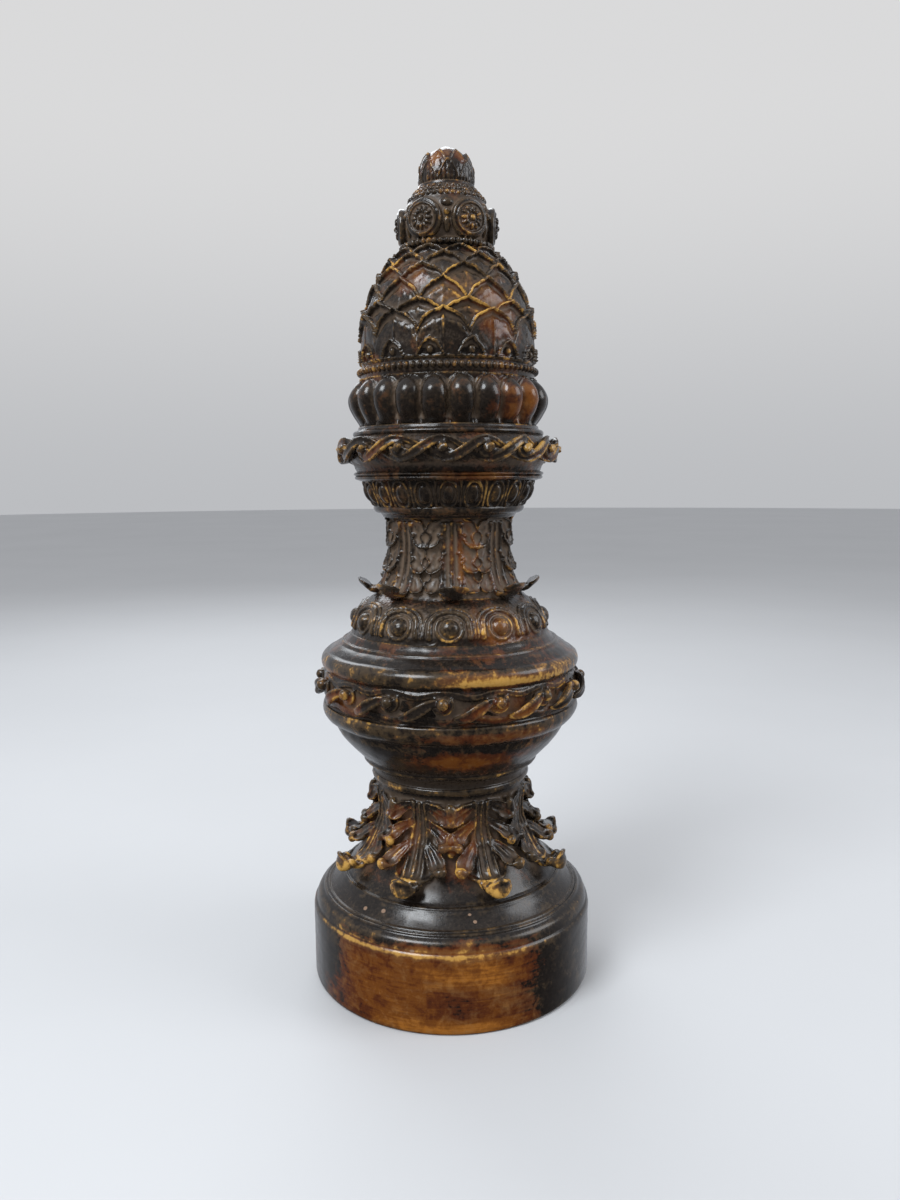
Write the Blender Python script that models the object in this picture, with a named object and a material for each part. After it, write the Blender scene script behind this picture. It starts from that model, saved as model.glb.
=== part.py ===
"""Table-top finial, one casting: drum base, leafed neck, bulb, second neck, carved bands, scaled cone, bud.

The body is one closed skin of rings, built from the foot up. Metres, +Z up, the foot's centre at the
origin, and the face that is seen first towards -Y. An azimuth of 0 degrees points to -Y, and 90 to +X.
Each part of the height adds its own sizes to what stands below it, so a change of one lifts all above.
"""

import math

import bmesh
import bpy
from mathutils import Vector

MM = 0.001

# How many points a ring has, for plain turned work and for each unit of carved work
PLAIN_POINTS = 32
SLIM_POINTS = 24
LEAF_POINTS = 8
RIBBON_POINTS = 4
EGG_POINTS = 6
SMALL_EGG_POINTS = 4
GADROON_POINTS = 4
SCALE_POINTS = 4
ARCH_POINTS = 4
ROUNDEL_POINTS = 6
PETAL_POINTS = 4

# Drum base, its shoulder and the double line on it
DRUM_RADIUS = 61.3 * MM
DRUM_HEIGHT = 33.0 * MM
DRUM_EDGE = 3.2 * MM
FOOT_CHAMFER = 1.0 * MM
SHOULDER_WIDTH = 5.2 * MM
SHOULDER_RISE = 5.0 * MM
LINE_WIDTH = 1.6 * MM
LINE_HEIGHT = 0.7 * MM
DISH_WIDTH = 6.4 * MM
DISH_RISE = 6.4 * MM

# Lower leafed neck: eight hanging acanthus leaves with curled tips
LEAVES = 8
LOWER_LEAF_TURN = 22.5
LOWER_NECK_HEIGHT = 42.5 * MM
LOWER_WAIST_RADIUS = 31.0 * MM
LOWER_COLLAR_RADIUS = 33.0 * MM
LOWER_TIP_REACH = 7.0 * MM
LOWER_RIB_RELIEF = 4.2 * MM
LOWER_LOBE_RELIEF = 7.0 * MM

# Dark hollow band between two thin rings, and the bowl above it
RING_HEIGHT = 2.2 * MM
RING_PROUD = 1.3 * MM
HOLLOW_HEIGHT = 5.0 * MM
HOLLOW_DEPTH = 1.2 * MM
HOLLOW_FLARE = 2.6 * MM
BOWL_HEIGHT = 16.0 * MM
BOWL_RADIUS = 49.6 * MM
BOWL_ROUND = 2.0 * MM
BOWL_TORUS_HEIGHT = 8.4 * MM
BOWL_TORUS_PROUD = 5.6 * MM

# Bands of twisted ribbon with a bead in each turn
RIBBON_UNITS = 16
RIBBON_TURN = -2.5
LOWER_RIBBON_RADIUS = 53.6 * MM
LOWER_RIBBON_HEIGHT = 14.8 * MM
LOWER_RIBBON_RELIEF = 6.0 * MM
UPPER_RIBBON_RADIUS = 38.6 * MM
UPPER_RIBBON_HEIGHT = 15.6 * MM
UPPER_RIBBON_RELIEF = 10.6 * MM

# Lip of the bulb, the hollow above it, and the dome of eggs and darts
LIP_RADIUS = 55.2 * MM
LIP_HEIGHT = 7.0 * MM
CAVETTO_HEIGHT = 7.4 * MM
CAVETTO_RADIUS = 43.4 * MM
CAVETTO_STEP = 1.2 * MM
DOME_EGGS = 12
DOME_RADIUS = 41.0 * MM
DOME_HEIGHT = 16.4 * MM
DOME_RELIEF = 2.2 * MM
DOME_TOP_RADIUS = 30.8 * MM

# Upper leafed neck
UPPER_LEAF_TURN = 2.0
UPPER_NECK_HEIGHT = 33.4 * MM
UPPER_WAIST_RADIUS = 24.6 * MM
UPPER_COLLAR_RADIUS = 26.4 * MM
UPPER_TIP_REACH = 4.6 * MM
UPPER_RIB_RELIEF = 1.4 * MM
UPPER_LOBE_RELIEF = 3.4 * MM

# Small mouldings of the head: astragal, small eggs, two fillets, gadroons
ASTRAGAL_RADIUS = 31.6 * MM
ASTRAGAL_HEIGHT = 4.4 * MM
SMALL_EGGS = 22
SMALL_EGG_HEIGHT = 10.6 * MM
SMALL_EGG_FLARE = 4.6 * MM
SMALL_EGG_RELIEF = 1.3 * MM
FILLET_HEIGHT = 2.8 * MM
FILLET_PROUD = 1.5 * MM
GADROONS = 22
GADROON_HEIGHT = 18.6 * MM
GADROON_BULGE = 5.9 * MM
GADROON_GROUND = 36.2 * MM

# Ring of beads, scaled cone and the small ring of beads at its top
BEAD_RING_RADIUS = 38.1 * MM
BEAD_RING_HEIGHT = 6.6 * MM
BEAD_GROOVE = 2.7 * MM
CONE_RADIUS = 35.0 * MM
CONE_HEIGHT = 45.1 * MM
CONE_TOP_RADIUS = 17.6 * MM
SCALES = 11
SCALE_TURN = -3.6
SCALE_RELIEF = 2.9 * MM
ARCHES = 14
ARCH_TURN = 12.0
ARCH_TIP = 0.268
ARCH_RELIEF = 2.1 * MM
# Tips and valleys of the rows of scales, as shares of the cone's height
SCALE_ROWS = ((0.58, 0.355), (0.68, 0.55), (0.845, 0.66), (0.94, 0.82))
SMALL_RING_RADIUS = 19.0 * MM
SMALL_RING_HEIGHT = 3.0 * MM

# Crown of roundels, its sloping collar, and the bud
ROUNDELS = 6
ROUNDEL_TURN = 30.0
ROUNDEL_RADIUS = 7.0 * MM
ROUNDEL_RELIEF = 3.2 * MM
CROWN_RADIUS = 17.6 * MM
CROWN_HEIGHT = 15.5 * MM
CROWN_ROUND = 1.3 * MM
COLLAR_HEIGHT = 7.0 * MM
COLLAR_TOP_RADIUS = 12.2 * MM
PETALS = 8
PETAL_TURN = 4.0
BUD_RADIUS = 11.4 * MM
BUD_NECK = 0.9 * MM
BUD_HEIGHT = 16.5 * MM
PETAL_RELIEF = 0.8 * MM

GLAZE = (0.055, 0.028, 0.014, 1.0)
GLAZE_ROUGHNESS = 0.35


def level(count, radius, height, turn=0.0):
    """One ring of points, where radius and height are numbers or functions of the azimuth in degrees."""
    points = []
    for index in range(count):
        azimuth = turn + 360.0 * index / count
        r = radius(azimuth) if callable(radius) else radius
        z = height(azimuth) if callable(height) else height
        a = math.radians(azimuth)
        points.append(Vector((r * math.sin(a), -r * math.cos(a), z)))
    return points


def turned(profile, count=PLAIN_POINTS):
    """Plain rings, one for each (radius, height) of a profile."""
    return [level(count, radius, height) for radius, height in profile]


def share(azimuth, units, turn):
    """Where an azimuth lies in its unit of a repeated pattern: 0 at the unit's centre, -0.5 to 0.5 across."""
    unit = (azimuth - turn) * units / 360.0
    return unit - math.floor(unit + 0.5)


def bump(distance, width):
    """A smooth rise: 1 at no distance, 0 from width on."""
    x = abs(distance) / width
    return 0.5 + 0.5 * math.cos(math.pi * x) if x < 1.0 else 0.0


def blend(start, end, part):
    """The value that lies a part of the way from start to end."""
    return start + (end - start) * part


def arc(radius, middle, proud, height, steps):
    """Profile points of a half round moulding that stands proud of a radius."""
    points = []
    for step in range(steps + 1):
        a = math.pi * step / steps - math.pi / 2
        points.append((radius + proud * math.cos(a), middle + 0.5 * height * math.sin(a)))
    return points


def drum_base(foot):
    """Drum with a rounded upper edge, convex shoulder, double raised line and dished slope."""
    top = foot + DRUM_HEIGHT
    line_radius = DRUM_RADIUS - SHOULDER_WIDTH
    line_height = top + SHOULDER_RISE
    edge = 0.3 * DRUM_EDGE
    profile = [
        (DRUM_RADIUS - FOOT_CHAMFER, foot),
        (DRUM_RADIUS, foot + FOOT_CHAMFER),
        (DRUM_RADIUS, top - DRUM_EDGE),
        (DRUM_RADIUS - edge, top - edge),
        (blend(DRUM_RADIUS, line_radius, 0.55), blend(top, line_height, 0.52)),
        (line_radius, line_height + 0.6 * LINE_HEIGHT),
        (line_radius - LINE_WIDTH, line_height + 1.6 * LINE_HEIGHT),
        (line_radius - 1.5 * LINE_WIDTH, line_height + LINE_HEIGHT),
    ]
    inner = line_radius - LINE_WIDTH - DISH_WIDTH
    profile.append((blend(line_radius, inner, 0.65), line_height + 0.42 * DISH_RISE))
    profile.append((inner - LINE_WIDTH, line_height + DISH_RISE + 1.2 * LINE_HEIGHT))
    return turned(profile), inner - LINE_WIDTH, line_height + DISH_RISE + 1.2 * LINE_HEIGHT


def leaf_neck(foot, foot_radius, sizes, rows):
    """Hanging leaves round a waisted neck.

    Each row is (share of the height, waist share, tip, rib, lobe): how far the ground has drawn in
    from the foot or the collar to the waist, and the shares of the tip, rib and lobe reliefs that
    stand on it there.
    """
    height, waist, collar, turn, tip_reach, rib_relief, lobe_relief = sizes
    rings = []
    for part, drawn_in, tip, rib, lobe in rows:
        end_radius = foot_radius if part < 0.5 else collar
        ground = blend(end_radius, waist, drawn_in)

        def radius(azimuth):
            u = share(azimuth, LEAVES, turn)
            middle = bump(max(0.0, abs(u) - 0.12), 0.3)
            side = bump(abs(u) - 0.31, 0.17)
            relief = tip * tip_reach * middle + rib * rib_relief * max(middle, 0.8 * side)
            return ground + relief + lobe * lobe_relief * side

        count = LEAVES * LEAF_POINTS
        rings.append(level(count, radius, foot + part * height, turn + 180.0 / count))
    return rings


def lower_neck(foot, foot_radius):
    """The neck on the drum base: fat curled tips below, side lobes that stand out near the top."""
    sizes = (
        LOWER_NECK_HEIGHT, LOWER_WAIST_RADIUS, LOWER_COLLAR_RADIUS, LOWER_LEAF_TURN,
        LOWER_TIP_REACH, LOWER_RIB_RELIEF, LOWER_LOBE_RELIEF,
    )
    rows = (
        (0.03, 0.06, 0.05, 0.0, 0.0),
        (0.12, 0.26, 1.05, 0.3, 0.0),
        (0.20, 0.40, 1.40, 0.45, 0.1),
        (0.30, 0.60, 0.85, 0.70, 0.6),
        (0.48, 0.86, 0.0, 1.0, 0.40),
        (0.62, 1.0, 0.0, 1.0, 0.95),
        (0.78, 0.85, 0.0, 0.85, 0.80),
        (0.92, 0.30, 0.0, 0.55, 0.55),
        (1.0, 0.0, 0.0, 0.1, 0.05),
    )
    return leaf_neck(foot, foot_radius, sizes, rows), foot + LOWER_NECK_HEIGHT


def hollow_band(foot):
    """Thin ring, dark hollow band and second thin ring, between the lower neck and the bowl."""
    ring = LOWER_COLLAR_RADIUS + RING_PROUD
    upper = foot + RING_HEIGHT + HOLLOW_HEIGHT
    upper_radius = ring + HOLLOW_FLARE
    profile = [
        (ring, foot + 0.4 * RING_HEIGHT),
        (ring, foot + 0.9 * RING_HEIGHT),
        (ring - HOLLOW_DEPTH, foot + 1.2 * RING_HEIGHT),
        (blend(ring, upper_radius, 0.45) - HOLLOW_DEPTH, foot + RING_HEIGHT + 0.55 * HOLLOW_HEIGHT),
        (upper_radius - 0.3 * HOLLOW_DEPTH, upper),
        (upper_radius + RING_PROUD, upper + 0.4 * RING_HEIGHT),
    ]
    return turned(profile, SLIM_POINTS), upper + RING_HEIGHT, upper_radius + RING_PROUD


def bowl(foot, foot_radius):
    """Round underside of the bulb, and the fuller torus that it carries."""
    profile = []
    for part in (0.06, 0.3, 0.62, 0.97):
        swell = BOWL_ROUND * math.sin(math.pi * part)
        profile.append((blend(foot_radius, BOWL_RADIUS, part) + swell, foot + part * BOWL_HEIGHT))
    start = foot + BOWL_HEIGHT
    for part in (0.2, 0.6, 0.95):
        full = 1.0 - (1.0 - part) ** 3
        profile.append((BOWL_RADIUS + BOWL_TORUS_PROUD * full, start + part * BOWL_TORUS_HEIGHT))
    return turned(profile), start + BOWL_TORUS_HEIGHT


def ribbon_band(foot, ground, height, relief):
    """Strands that rise from lower left to upper right and wind round a bead in each turn."""
    count = RIBBON_UNITS * RIBBON_POINTS
    rings = turned([(ground, foot + 0.04 * height)])
    for v in (-0.75, -0.25, 0.25, 0.75):
        def radius(azimuth):
            u = share(azimuth, RIBBON_UNITS, RIBBON_TURN)
            bead = min(1.0, max(0.0, 1.0 - math.hypot(u / 0.3, v / 0.6)) / 0.35)
            rise = 1.6 * (u % 1.0 - 0.5)
            strand = bump(v - rise, 0.65) * (1.0 - 0.6 * v * v)
            return ground + relief * max(bead, 0.8 * strand)

        middle = foot + (0.5 + 0.5 * v) * height
        rings.append(level(count, radius, middle, RIBBON_TURN + 180.0 / count))
    return rings + turned([(ground, foot + 0.96 * height)]), foot + height


def bulb_top(foot):
    """Round lip of the bulb, then a hollow with one step that draws in to the dome."""
    top = foot + LIP_HEIGHT
    profile = arc(LIP_RADIUS - 0.5 * LIP_HEIGHT, foot + 0.5 * LIP_HEIGHT, 0.5 * LIP_HEIGHT, LIP_HEIGHT, 4)[1:]
    for part in (0.28, 0.54, 0.62, 1.0):
        step = CAVETTO_STEP if part > 0.55 else 0.0
        sweep = 1.0 - (1.0 - part) ** 1.5
        radius = blend(LIP_RADIUS - 0.6 * LIP_HEIGHT, CAVETTO_RADIUS, sweep) - step * (1.0 - part)
        profile.append((radius, top + part * CAVETTO_HEIGHT))
    return turned(profile), top + CAVETTO_HEIGHT


def egg_dome(foot):
    """Dome carved with eggs under arched surrounds, and darts between them."""
    rings = []
    for part in (0.05, 0.30, 0.52, 0.74, 0.96):
        ground = blend(DOME_TOP_RADIUS, DOME_RADIUS, (1.0 - part**1.8) ** 0.62)

        def radius(azimuth):
            u = share(azimuth, DOME_EGGS, 0.0)
            egg = bump(math.hypot(u / 0.22, (part - 0.36) / 0.36), 1.0)
            arch = bump(math.hypot(u / 0.36, (part - 0.25) / 0.52) - 0.95, 0.34)
            dart = 0.5 * bump(abs(u) - 0.5, 0.12)
            edge = min(1.0, part / 0.12, (1.0 - part) / 0.15)
            return ground + DOME_RELIEF * max(egg, 0.9 * arch, dart) * edge

        rings.append(level(DOME_EGGS * EGG_POINTS, radius, foot + part * DOME_HEIGHT))
    return rings, foot + DOME_HEIGHT


def upper_neck(foot):
    """The second neck: flatter leaves, with thin tips that turn out and up."""
    sizes = (
        UPPER_NECK_HEIGHT, UPPER_WAIST_RADIUS, UPPER_COLLAR_RADIUS, UPPER_LEAF_TURN,
        UPPER_TIP_REACH, UPPER_RIB_RELIEF, UPPER_LOBE_RELIEF,
    )
    rows = (
        (0.04, 0.20, 0.6, 0.4, 0.0),
        (0.12, 0.36, 1.55, 0.8, 0.0),
        (0.19, 0.50, 0.80, 1.0, 0.3),
        (0.40, 0.85, 0.0, 1.0, 0.7),
        (0.70, 0.90, 0.0, 1.0, 1.0),
        (0.90, 0.35, 0.0, 1.0, 0.55),
        (1.0, 0.0, 0.0, 0.5, 0.1),
    )
    return leaf_neck(foot, DOME_TOP_RADIUS, sizes, rows), foot + UPPER_NECK_HEIGHT


def small_egg_band(foot):
    """Astragal, then a flaring row of small eggs, each in its surround."""
    proud = 0.5 * ASTRAGAL_HEIGHT
    middle = foot + proud
    profile = arc(ASTRAGAL_RADIUS - proud, middle, proud, ASTRAGAL_HEIGHT, 4)[1:-1]
    rings = turned(profile, SLIM_POINTS)
    start = foot + ASTRAGAL_HEIGHT
    for part in (0.05, 0.5, 0.95):
        ground = ASTRAGAL_RADIUS + SMALL_EGG_FLARE * math.sqrt(part)

        def radius(azimuth):
            u = share(azimuth, SMALL_EGGS, 0.0)
            across = max(bump(u, 0.26), bump(abs(u) - 0.5, 0.2))
            return ground + SMALL_EGG_RELIEF * across * bump(part - 0.5, 0.5)

        rings.append(level(SMALL_EGGS * SMALL_EGG_POINTS, radius, start + part * SMALL_EGG_HEIGHT))
    return rings, start + SMALL_EGG_HEIGHT


def fillet(foot, radius):
    """Small half round ring that edges the ribbon band."""
    profile = arc(radius, foot + 0.5 * FILLET_HEIGHT, FILLET_PROUD, FILLET_HEIGHT, 3)[1:-1]
    return turned(profile, SLIM_POINTS), foot + FILLET_HEIGHT


def gadroon_band(foot):
    """Fat upright lobes, fullest near the top."""
    rings = []
    for part in (0.06, 0.28, 0.54, 0.80, 0.96):
        bulge = GADROON_BULGE * math.sin(math.pi * part**1.4) ** 0.7

        def radius(azimuth):
            u = share(azimuth, GADROONS, 180.0 / GADROONS)
            return GADROON_GROUND + bulge * math.sqrt(max(0.0, 1.0 - (2.0 * u) ** 2))

        rings.append(level(GADROONS * GADROON_POINTS, radius, foot + part * GADROON_HEIGHT))
    return rings, foot + GADROON_HEIGHT


def bead_ring(foot, radius, height, groove):
    """The ring that a row of beads stands on, between two narrow grooves."""
    profile = arc(radius - groove, foot + 0.5 * height, groove, height, 4)[1:-1]
    return turned(profile, SLIM_POINTS), foot + height


def cone_radius(part):
    """Radius of the ground under the scales, at a share of the cone's height."""
    drawn_in = 1.0 - (CONE_TOP_RADIUS / CONE_RADIUS) ** 2
    return CONE_RADIUS * math.sqrt(1.0 - drawn_in * part * part)


def scale_relief(part, azimuth):
    """Height of the scales at a point: raised rims that run from tip to valley, hollow faces, low ground."""
    for row, (tip, valley) in enumerate(SCALE_ROWS):
        u = share(azimuth, SCALES, SCALE_TURN + (row % 2) * 180.0 / SCALES)
        rim = tip - (tip - valley) * (2.0 * abs(u)) ** 1.3
        if part <= rim + 0.004:
            depth = (rim - part) / (tip - valley)
            return 1.0 - abs(u) if depth < 0.12 else 0.35 - 0.5 * abs(u)
    return 0.05


def cone(foot):
    """Ogival cone: a row of small pointed arches, then staggered rows of scales with raised rims."""
    rings = []
    for part, middle, side, gap in ((0.03, 0.5, 0.5, 0.5), (0.13, 0.6, 1.0, 0.3), (ARCH_TIP, 1.0, 0.3, 0.1)):
        def arch(azimuth):
            u = abs(share(azimuth, ARCHES, ARCH_TURN))
            relief = middle if u < 0.1 else side if u < 0.4 else gap
            return cone_radius(part) + ARCH_RELIEF * relief

        rings.append(level(ARCHES * ARCH_POINTS, arch, foot + part * CONE_HEIGHT, ARCH_TURN))
    heights = [SCALE_ROWS[0][1], SCALE_ROWS[0][1] + 0.065]
    for tip, valley in SCALE_ROWS:
        heights += [tip - (tip - valley) * 0.5**1.3, tip]
    for part in heights:
        def radius(azimuth):
            return cone_radius(part) + (1.0 - 0.35 * part) * SCALE_RELIEF * scale_relief(part, azimuth)

        rings.append(level(SCALES * SCALE_POINTS, radius, foot + part * CONE_HEIGHT, SCALE_TURN))
    return rings, foot + CONE_HEIGHT


def crown(foot):
    """Drum of roundels, each a raised disc, and the sloping collar that carries the bud."""
    middle = foot + 0.5 * CROWN_HEIGHT
    rings = []
    for part in (0.08, 0.3, 0.7, 0.92):
        height = foot + part * CROWN_HEIGHT
        ground = CROWN_RADIUS - CROWN_ROUND * (2.0 * part - 1.0) ** 2

        def radius(azimuth):
            u = share(azimuth, ROUNDELS, ROUNDEL_TURN)
            across = u * 2.0 * math.pi * CROWN_RADIUS / ROUNDELS
            away = math.hypot(across, height - middle)
            disc = min(1.0, max(0.0, 1.25 - away / ROUNDEL_RADIUS) * 2.0)
            return ground + ROUNDEL_RELIEF * disc

        rings.append(level(ROUNDELS * ROUNDEL_POINTS, radius, height))
    top = foot + CROWN_HEIGHT
    for part in (0.0, 0.9):
        radius = blend(CROWN_RADIUS - 0.4 * CROWN_ROUND, COLLAR_TOP_RADIUS, part)
        rings.append(level(ROUNDELS * ROUNDEL_POINTS, radius, top + (0.08 + 0.9 * part) * COLLAR_HEIGHT))
    return rings, top + COLLAR_HEIGHT


def bud(foot):
    """Closed bud of overlapping petals."""
    rings = []
    full = 0.15
    for part in (0.0, full, 0.44, 0.7, 0.9):
        ground = BUD_RADIUS * math.sqrt(1.0 - ((part - full) / (1.0 - full)) ** 2)
        ground -= BUD_NECK if part < full else 0.0

        def radius(azimuth):
            u = share(azimuth, PETALS, PETAL_TURN + (180.0 / PETALS if part > 0.5 else 0.0))
            groove = bump(abs(u) - 0.5, 0.3) if 0.0 < part < 0.9 else 0.0
            return ground - PETAL_RELIEF * groove

        rings.append(level(PETALS * PETAL_POINTS, radius, foot + part * BUD_HEIGHT, PETAL_TURN))
    return rings, foot + BUD_HEIGHT


def all_rings():
    """Every ring of the skin, from the foot to the top of the bud, and the height of the top."""
    rings, radius, height = drum_base(0.0)

    def add(made):
        rings.extend(made[0])
        return made[1]

    height = add(lower_neck(height, radius))
    hollow, height, radius = hollow_band(height)
    rings += hollow
    height = add(bowl(height, radius))
    height = add(ribbon_band(height, LOWER_RIBBON_RADIUS, LOWER_RIBBON_HEIGHT, LOWER_RIBBON_RELIEF))
    height = add(bulb_top(height))
    height = add(egg_dome(height))
    height = add(upper_neck(height))
    height = add(small_egg_band(height))
    height = add(fillet(height, UPPER_RIBBON_RADIUS))
    height = add(ribbon_band(height, UPPER_RIBBON_RADIUS, UPPER_RIBBON_HEIGHT, UPPER_RIBBON_RELIEF))
    height = add(fillet(height, UPPER_RIBBON_RADIUS))
    height = add(gadroon_band(height))
    height = add(bead_ring(height, BEAD_RING_RADIUS, BEAD_RING_HEIGHT, BEAD_GROOVE))
    height = add(cone(height))
    height = add(bead_ring(height, SMALL_RING_RADIUS, SMALL_RING_HEIGHT, SMALL_RING_RADIUS - CONE_TOP_RADIUS))
    height = add(crown(height))
    height = add(bud(height))
    return rings, height


def sew(bm, lower, upper):
    """Triangles between two rings of any two counts, taking the shorter diagonal at each step."""
    n, m = len(lower), len(upper)
    most_lead = 1.2 / min(n, m)
    i = j = 0
    while i < n or j < m:
        lead = i / n - j / m
        along_lower = (lower[(i + 1) % n].co - upper[j % m].co).length
        along_upper = (upper[(j + 1) % m].co - lower[i % n].co).length
        shorter = along_lower <= along_upper and lead < most_lead
        if j == m or (i < n and (shorter or lead < -most_lead)):
            bm.faces.new((lower[i % n], lower[(i + 1) % n], upper[j % m]))
            i += 1
        else:
            bm.faces.new((lower[i % n], upper[(j + 1) % m], upper[j % m]))
            j += 1


def finial():
    """The whole casting: the rings sewn into one skin, a flat foot below and a point on top."""
    rings, top = all_rings()
    bm = bmesh.new()
    corners = [[bm.verts.new(point) for point in ring] for ring in rings]
    for lower, upper in zip(corners, corners[1:]):
        sew(bm, lower, upper)
    bm.faces.new(list(reversed(corners[0])))
    point = bm.verts.new((0.0, 0.0, top))
    last = corners[-1]
    for index, corner in enumerate(last):
        bm.faces.new((corner, last[(index + 1) % len(last)], point))
    mesh = bpy.data.meshes.new("finial")
    bm.to_mesh(mesh)
    bm.free()
    mesh.shade_smooth()
    mesh.set_sharp_from_angle(angle=math.radians(40.0))
    mesh.materials.append(glaze())
    body = bpy.data.objects.new("finial", mesh)
    bpy.context.scene.collection.objects.link(body)
    return body


def glaze():
    """Dark antique glaze over a warm ground."""
    material = bpy.data.materials.new("dark antique glaze")
    material.use_nodes = True
    shader = material.node_tree.nodes["Principled BSDF"]
    shader.inputs["Base Color"].default_value = GLAZE
    shader.inputs["Roughness"].default_value = GLAZE_ROUGHNESS
    shader.inputs["Metallic"].default_value = 0.0
    return material


for old in list(bpy.data.objects):
    bpy.data.objects.remove(old, do_unlink=True)
finial()
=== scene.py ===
"""Table-top finial under a dark antique glaze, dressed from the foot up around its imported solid."""

import math

import bpy
import numpy as np
from mathutils import Matrix, Vector


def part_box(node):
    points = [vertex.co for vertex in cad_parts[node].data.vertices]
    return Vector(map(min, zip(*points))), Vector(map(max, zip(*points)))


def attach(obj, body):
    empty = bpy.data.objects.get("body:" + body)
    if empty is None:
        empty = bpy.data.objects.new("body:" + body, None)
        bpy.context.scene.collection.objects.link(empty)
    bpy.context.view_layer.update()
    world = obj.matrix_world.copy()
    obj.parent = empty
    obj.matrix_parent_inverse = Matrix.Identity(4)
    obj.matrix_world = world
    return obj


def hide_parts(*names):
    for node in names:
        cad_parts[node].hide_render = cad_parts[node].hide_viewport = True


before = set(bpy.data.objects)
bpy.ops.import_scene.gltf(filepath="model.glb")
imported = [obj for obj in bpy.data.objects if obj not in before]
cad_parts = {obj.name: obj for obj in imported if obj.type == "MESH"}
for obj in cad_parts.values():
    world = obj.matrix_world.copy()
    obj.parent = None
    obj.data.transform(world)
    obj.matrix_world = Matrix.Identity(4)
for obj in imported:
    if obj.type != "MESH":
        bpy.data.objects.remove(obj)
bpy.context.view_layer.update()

# The view: a hand-held picture from 0.4 m in front, a little above the middle, looking slightly down and
# leaning a trace to one side, with a wide lens, so that the finial's foot and head both fit in.
LENS = 27.795
SENSOR_WIDTH = 36.0
LOOK_DOWN = 7.6
LEAN = -0.39
CAMERA_PLACE = (0.0003, -0.397, 0.2166)

view_data = bpy.data.cameras.new("view")
view_data.lens = LENS
view_data.sensor_width = SENSOR_WIDTH
view = bpy.data.objects.new("view", view_data)
bpy.context.scene.collection.objects.link(view)
aim = Matrix.Rotation(math.radians(90.0 - LOOK_DOWN), 4, "X") @ Matrix.Rotation(math.radians(LEAN), 4, "Z")
view.matrix_world = Matrix.Translation(CAMERA_PLACE) @ aim
bpy.context.scene.camera = view


# Soft studio light: a broad window of light high on the left in front, a weaker one on the right, one
# behind that edges the outline, and a pale room that shines less from the camera's side. The
# wall that is seen behind is even and pale, and colours are shown plainly, as on a print.
LIGHTS = (
    ("window", (-0.52, -0.60, 0.95), 0.46, 11.0, (0.92, 0.96, 1.0)),
    ("right wall", (0.85, -0.18, 0.62), 0.50, 3.8, (0.95, 0.97, 1.0)),
    ("behind", (-0.25, 0.85, 0.90), 0.70, 5.0, (0.92, 0.96, 1.0)),
)
LIGHT_TARGET = (0.0, 0.0, 0.17)
ROOM_BRIGHT = (0.50, 0.52, 0.56, 1.0)
ROOM_DIM = (0.020, 0.021, 0.024, 1.0)
ROOM_FILL = (0.62, 0.63, 0.65, 1.0)
WALL_LOW = (0.50, 0.51, 0.53, 1.0)
WALL_HIGH = (0.70, 0.70, 0.705, 1.0)

bpy.context.scene.view_settings.view_transform = "Standard"


def area_light(name, place, size, power, colour):
    """A square soft light that looks at the middle of the finial."""
    data = bpy.data.lights.new(name, "AREA")
    data.shape = "SQUARE"
    data.size = size
    data.energy = power
    data.color = colour
    light = bpy.data.objects.new(name, data)
    bpy.context.scene.collection.objects.link(light)
    towards = Vector(place) - Vector(LIGHT_TARGET)
    light.location = place
    light.rotation_euler = towards.to_track_quat("Z", "Y").to_euler()


for light_settings in LIGHTS:
    area_light(*light_settings)


def feed(tree, value, socket):
    """Links a socket to another, or sets it to a plain value."""
    if isinstance(value, bpy.types.NodeSocket):
        tree.links.new(value, socket)
    else:
        socket.default_value = value


def calc(tree, operation, *values, clamp=False):
    """A Math node and its result."""
    made = tree.nodes.new("ShaderNodeMath")
    made.operation = operation
    made.use_clamp = clamp
    for value, socket in zip(values, made.inputs):
        feed(tree, value, socket)
    return made.outputs[0]


def ramp(tree, value, start, end, low=0.0, high=1.0):
    """A smooth step from low to high as the value goes from start to end."""
    made = tree.nodes.new("ShaderNodeMapRange")
    made.interpolation_type = "SMOOTHSTEP"
    for name, number in (("From Min", start), ("From Max", end), ("To Min", low), ("To Max", high)):
        feed(tree, number, made.inputs[name])
    feed(tree, value, made.inputs["Value"])
    return made.outputs["Result"]


def mixed(tree, part, first, second, blend="MIX"):
    """One colour laid over another, by a part from 0 to 1."""
    made = tree.nodes.new("ShaderNodeMix")
    made.data_type = "RGBA"
    made.blend_type = blend
    feed(tree, part, made.inputs[0])
    feed(tree, first, made.inputs[6])
    feed(tree, second, made.inputs[7])
    return made.outputs[2]


def mottle(tree, place, scale, detail=4.0, distortion=0.0, roughness=0.55):
    """Cloudy noise from 0 to 1."""
    made = tree.nodes.new("ShaderNodeTexNoise")
    made.inputs["Scale"].default_value = scale
    made.inputs["Detail"].default_value = detail
    made.inputs["Roughness"].default_value = roughness
    made.inputs["Distortion"].default_value = distortion
    tree.links.new(place, made.inputs["Vector"])
    return made.outputs["Fac"]


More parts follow.
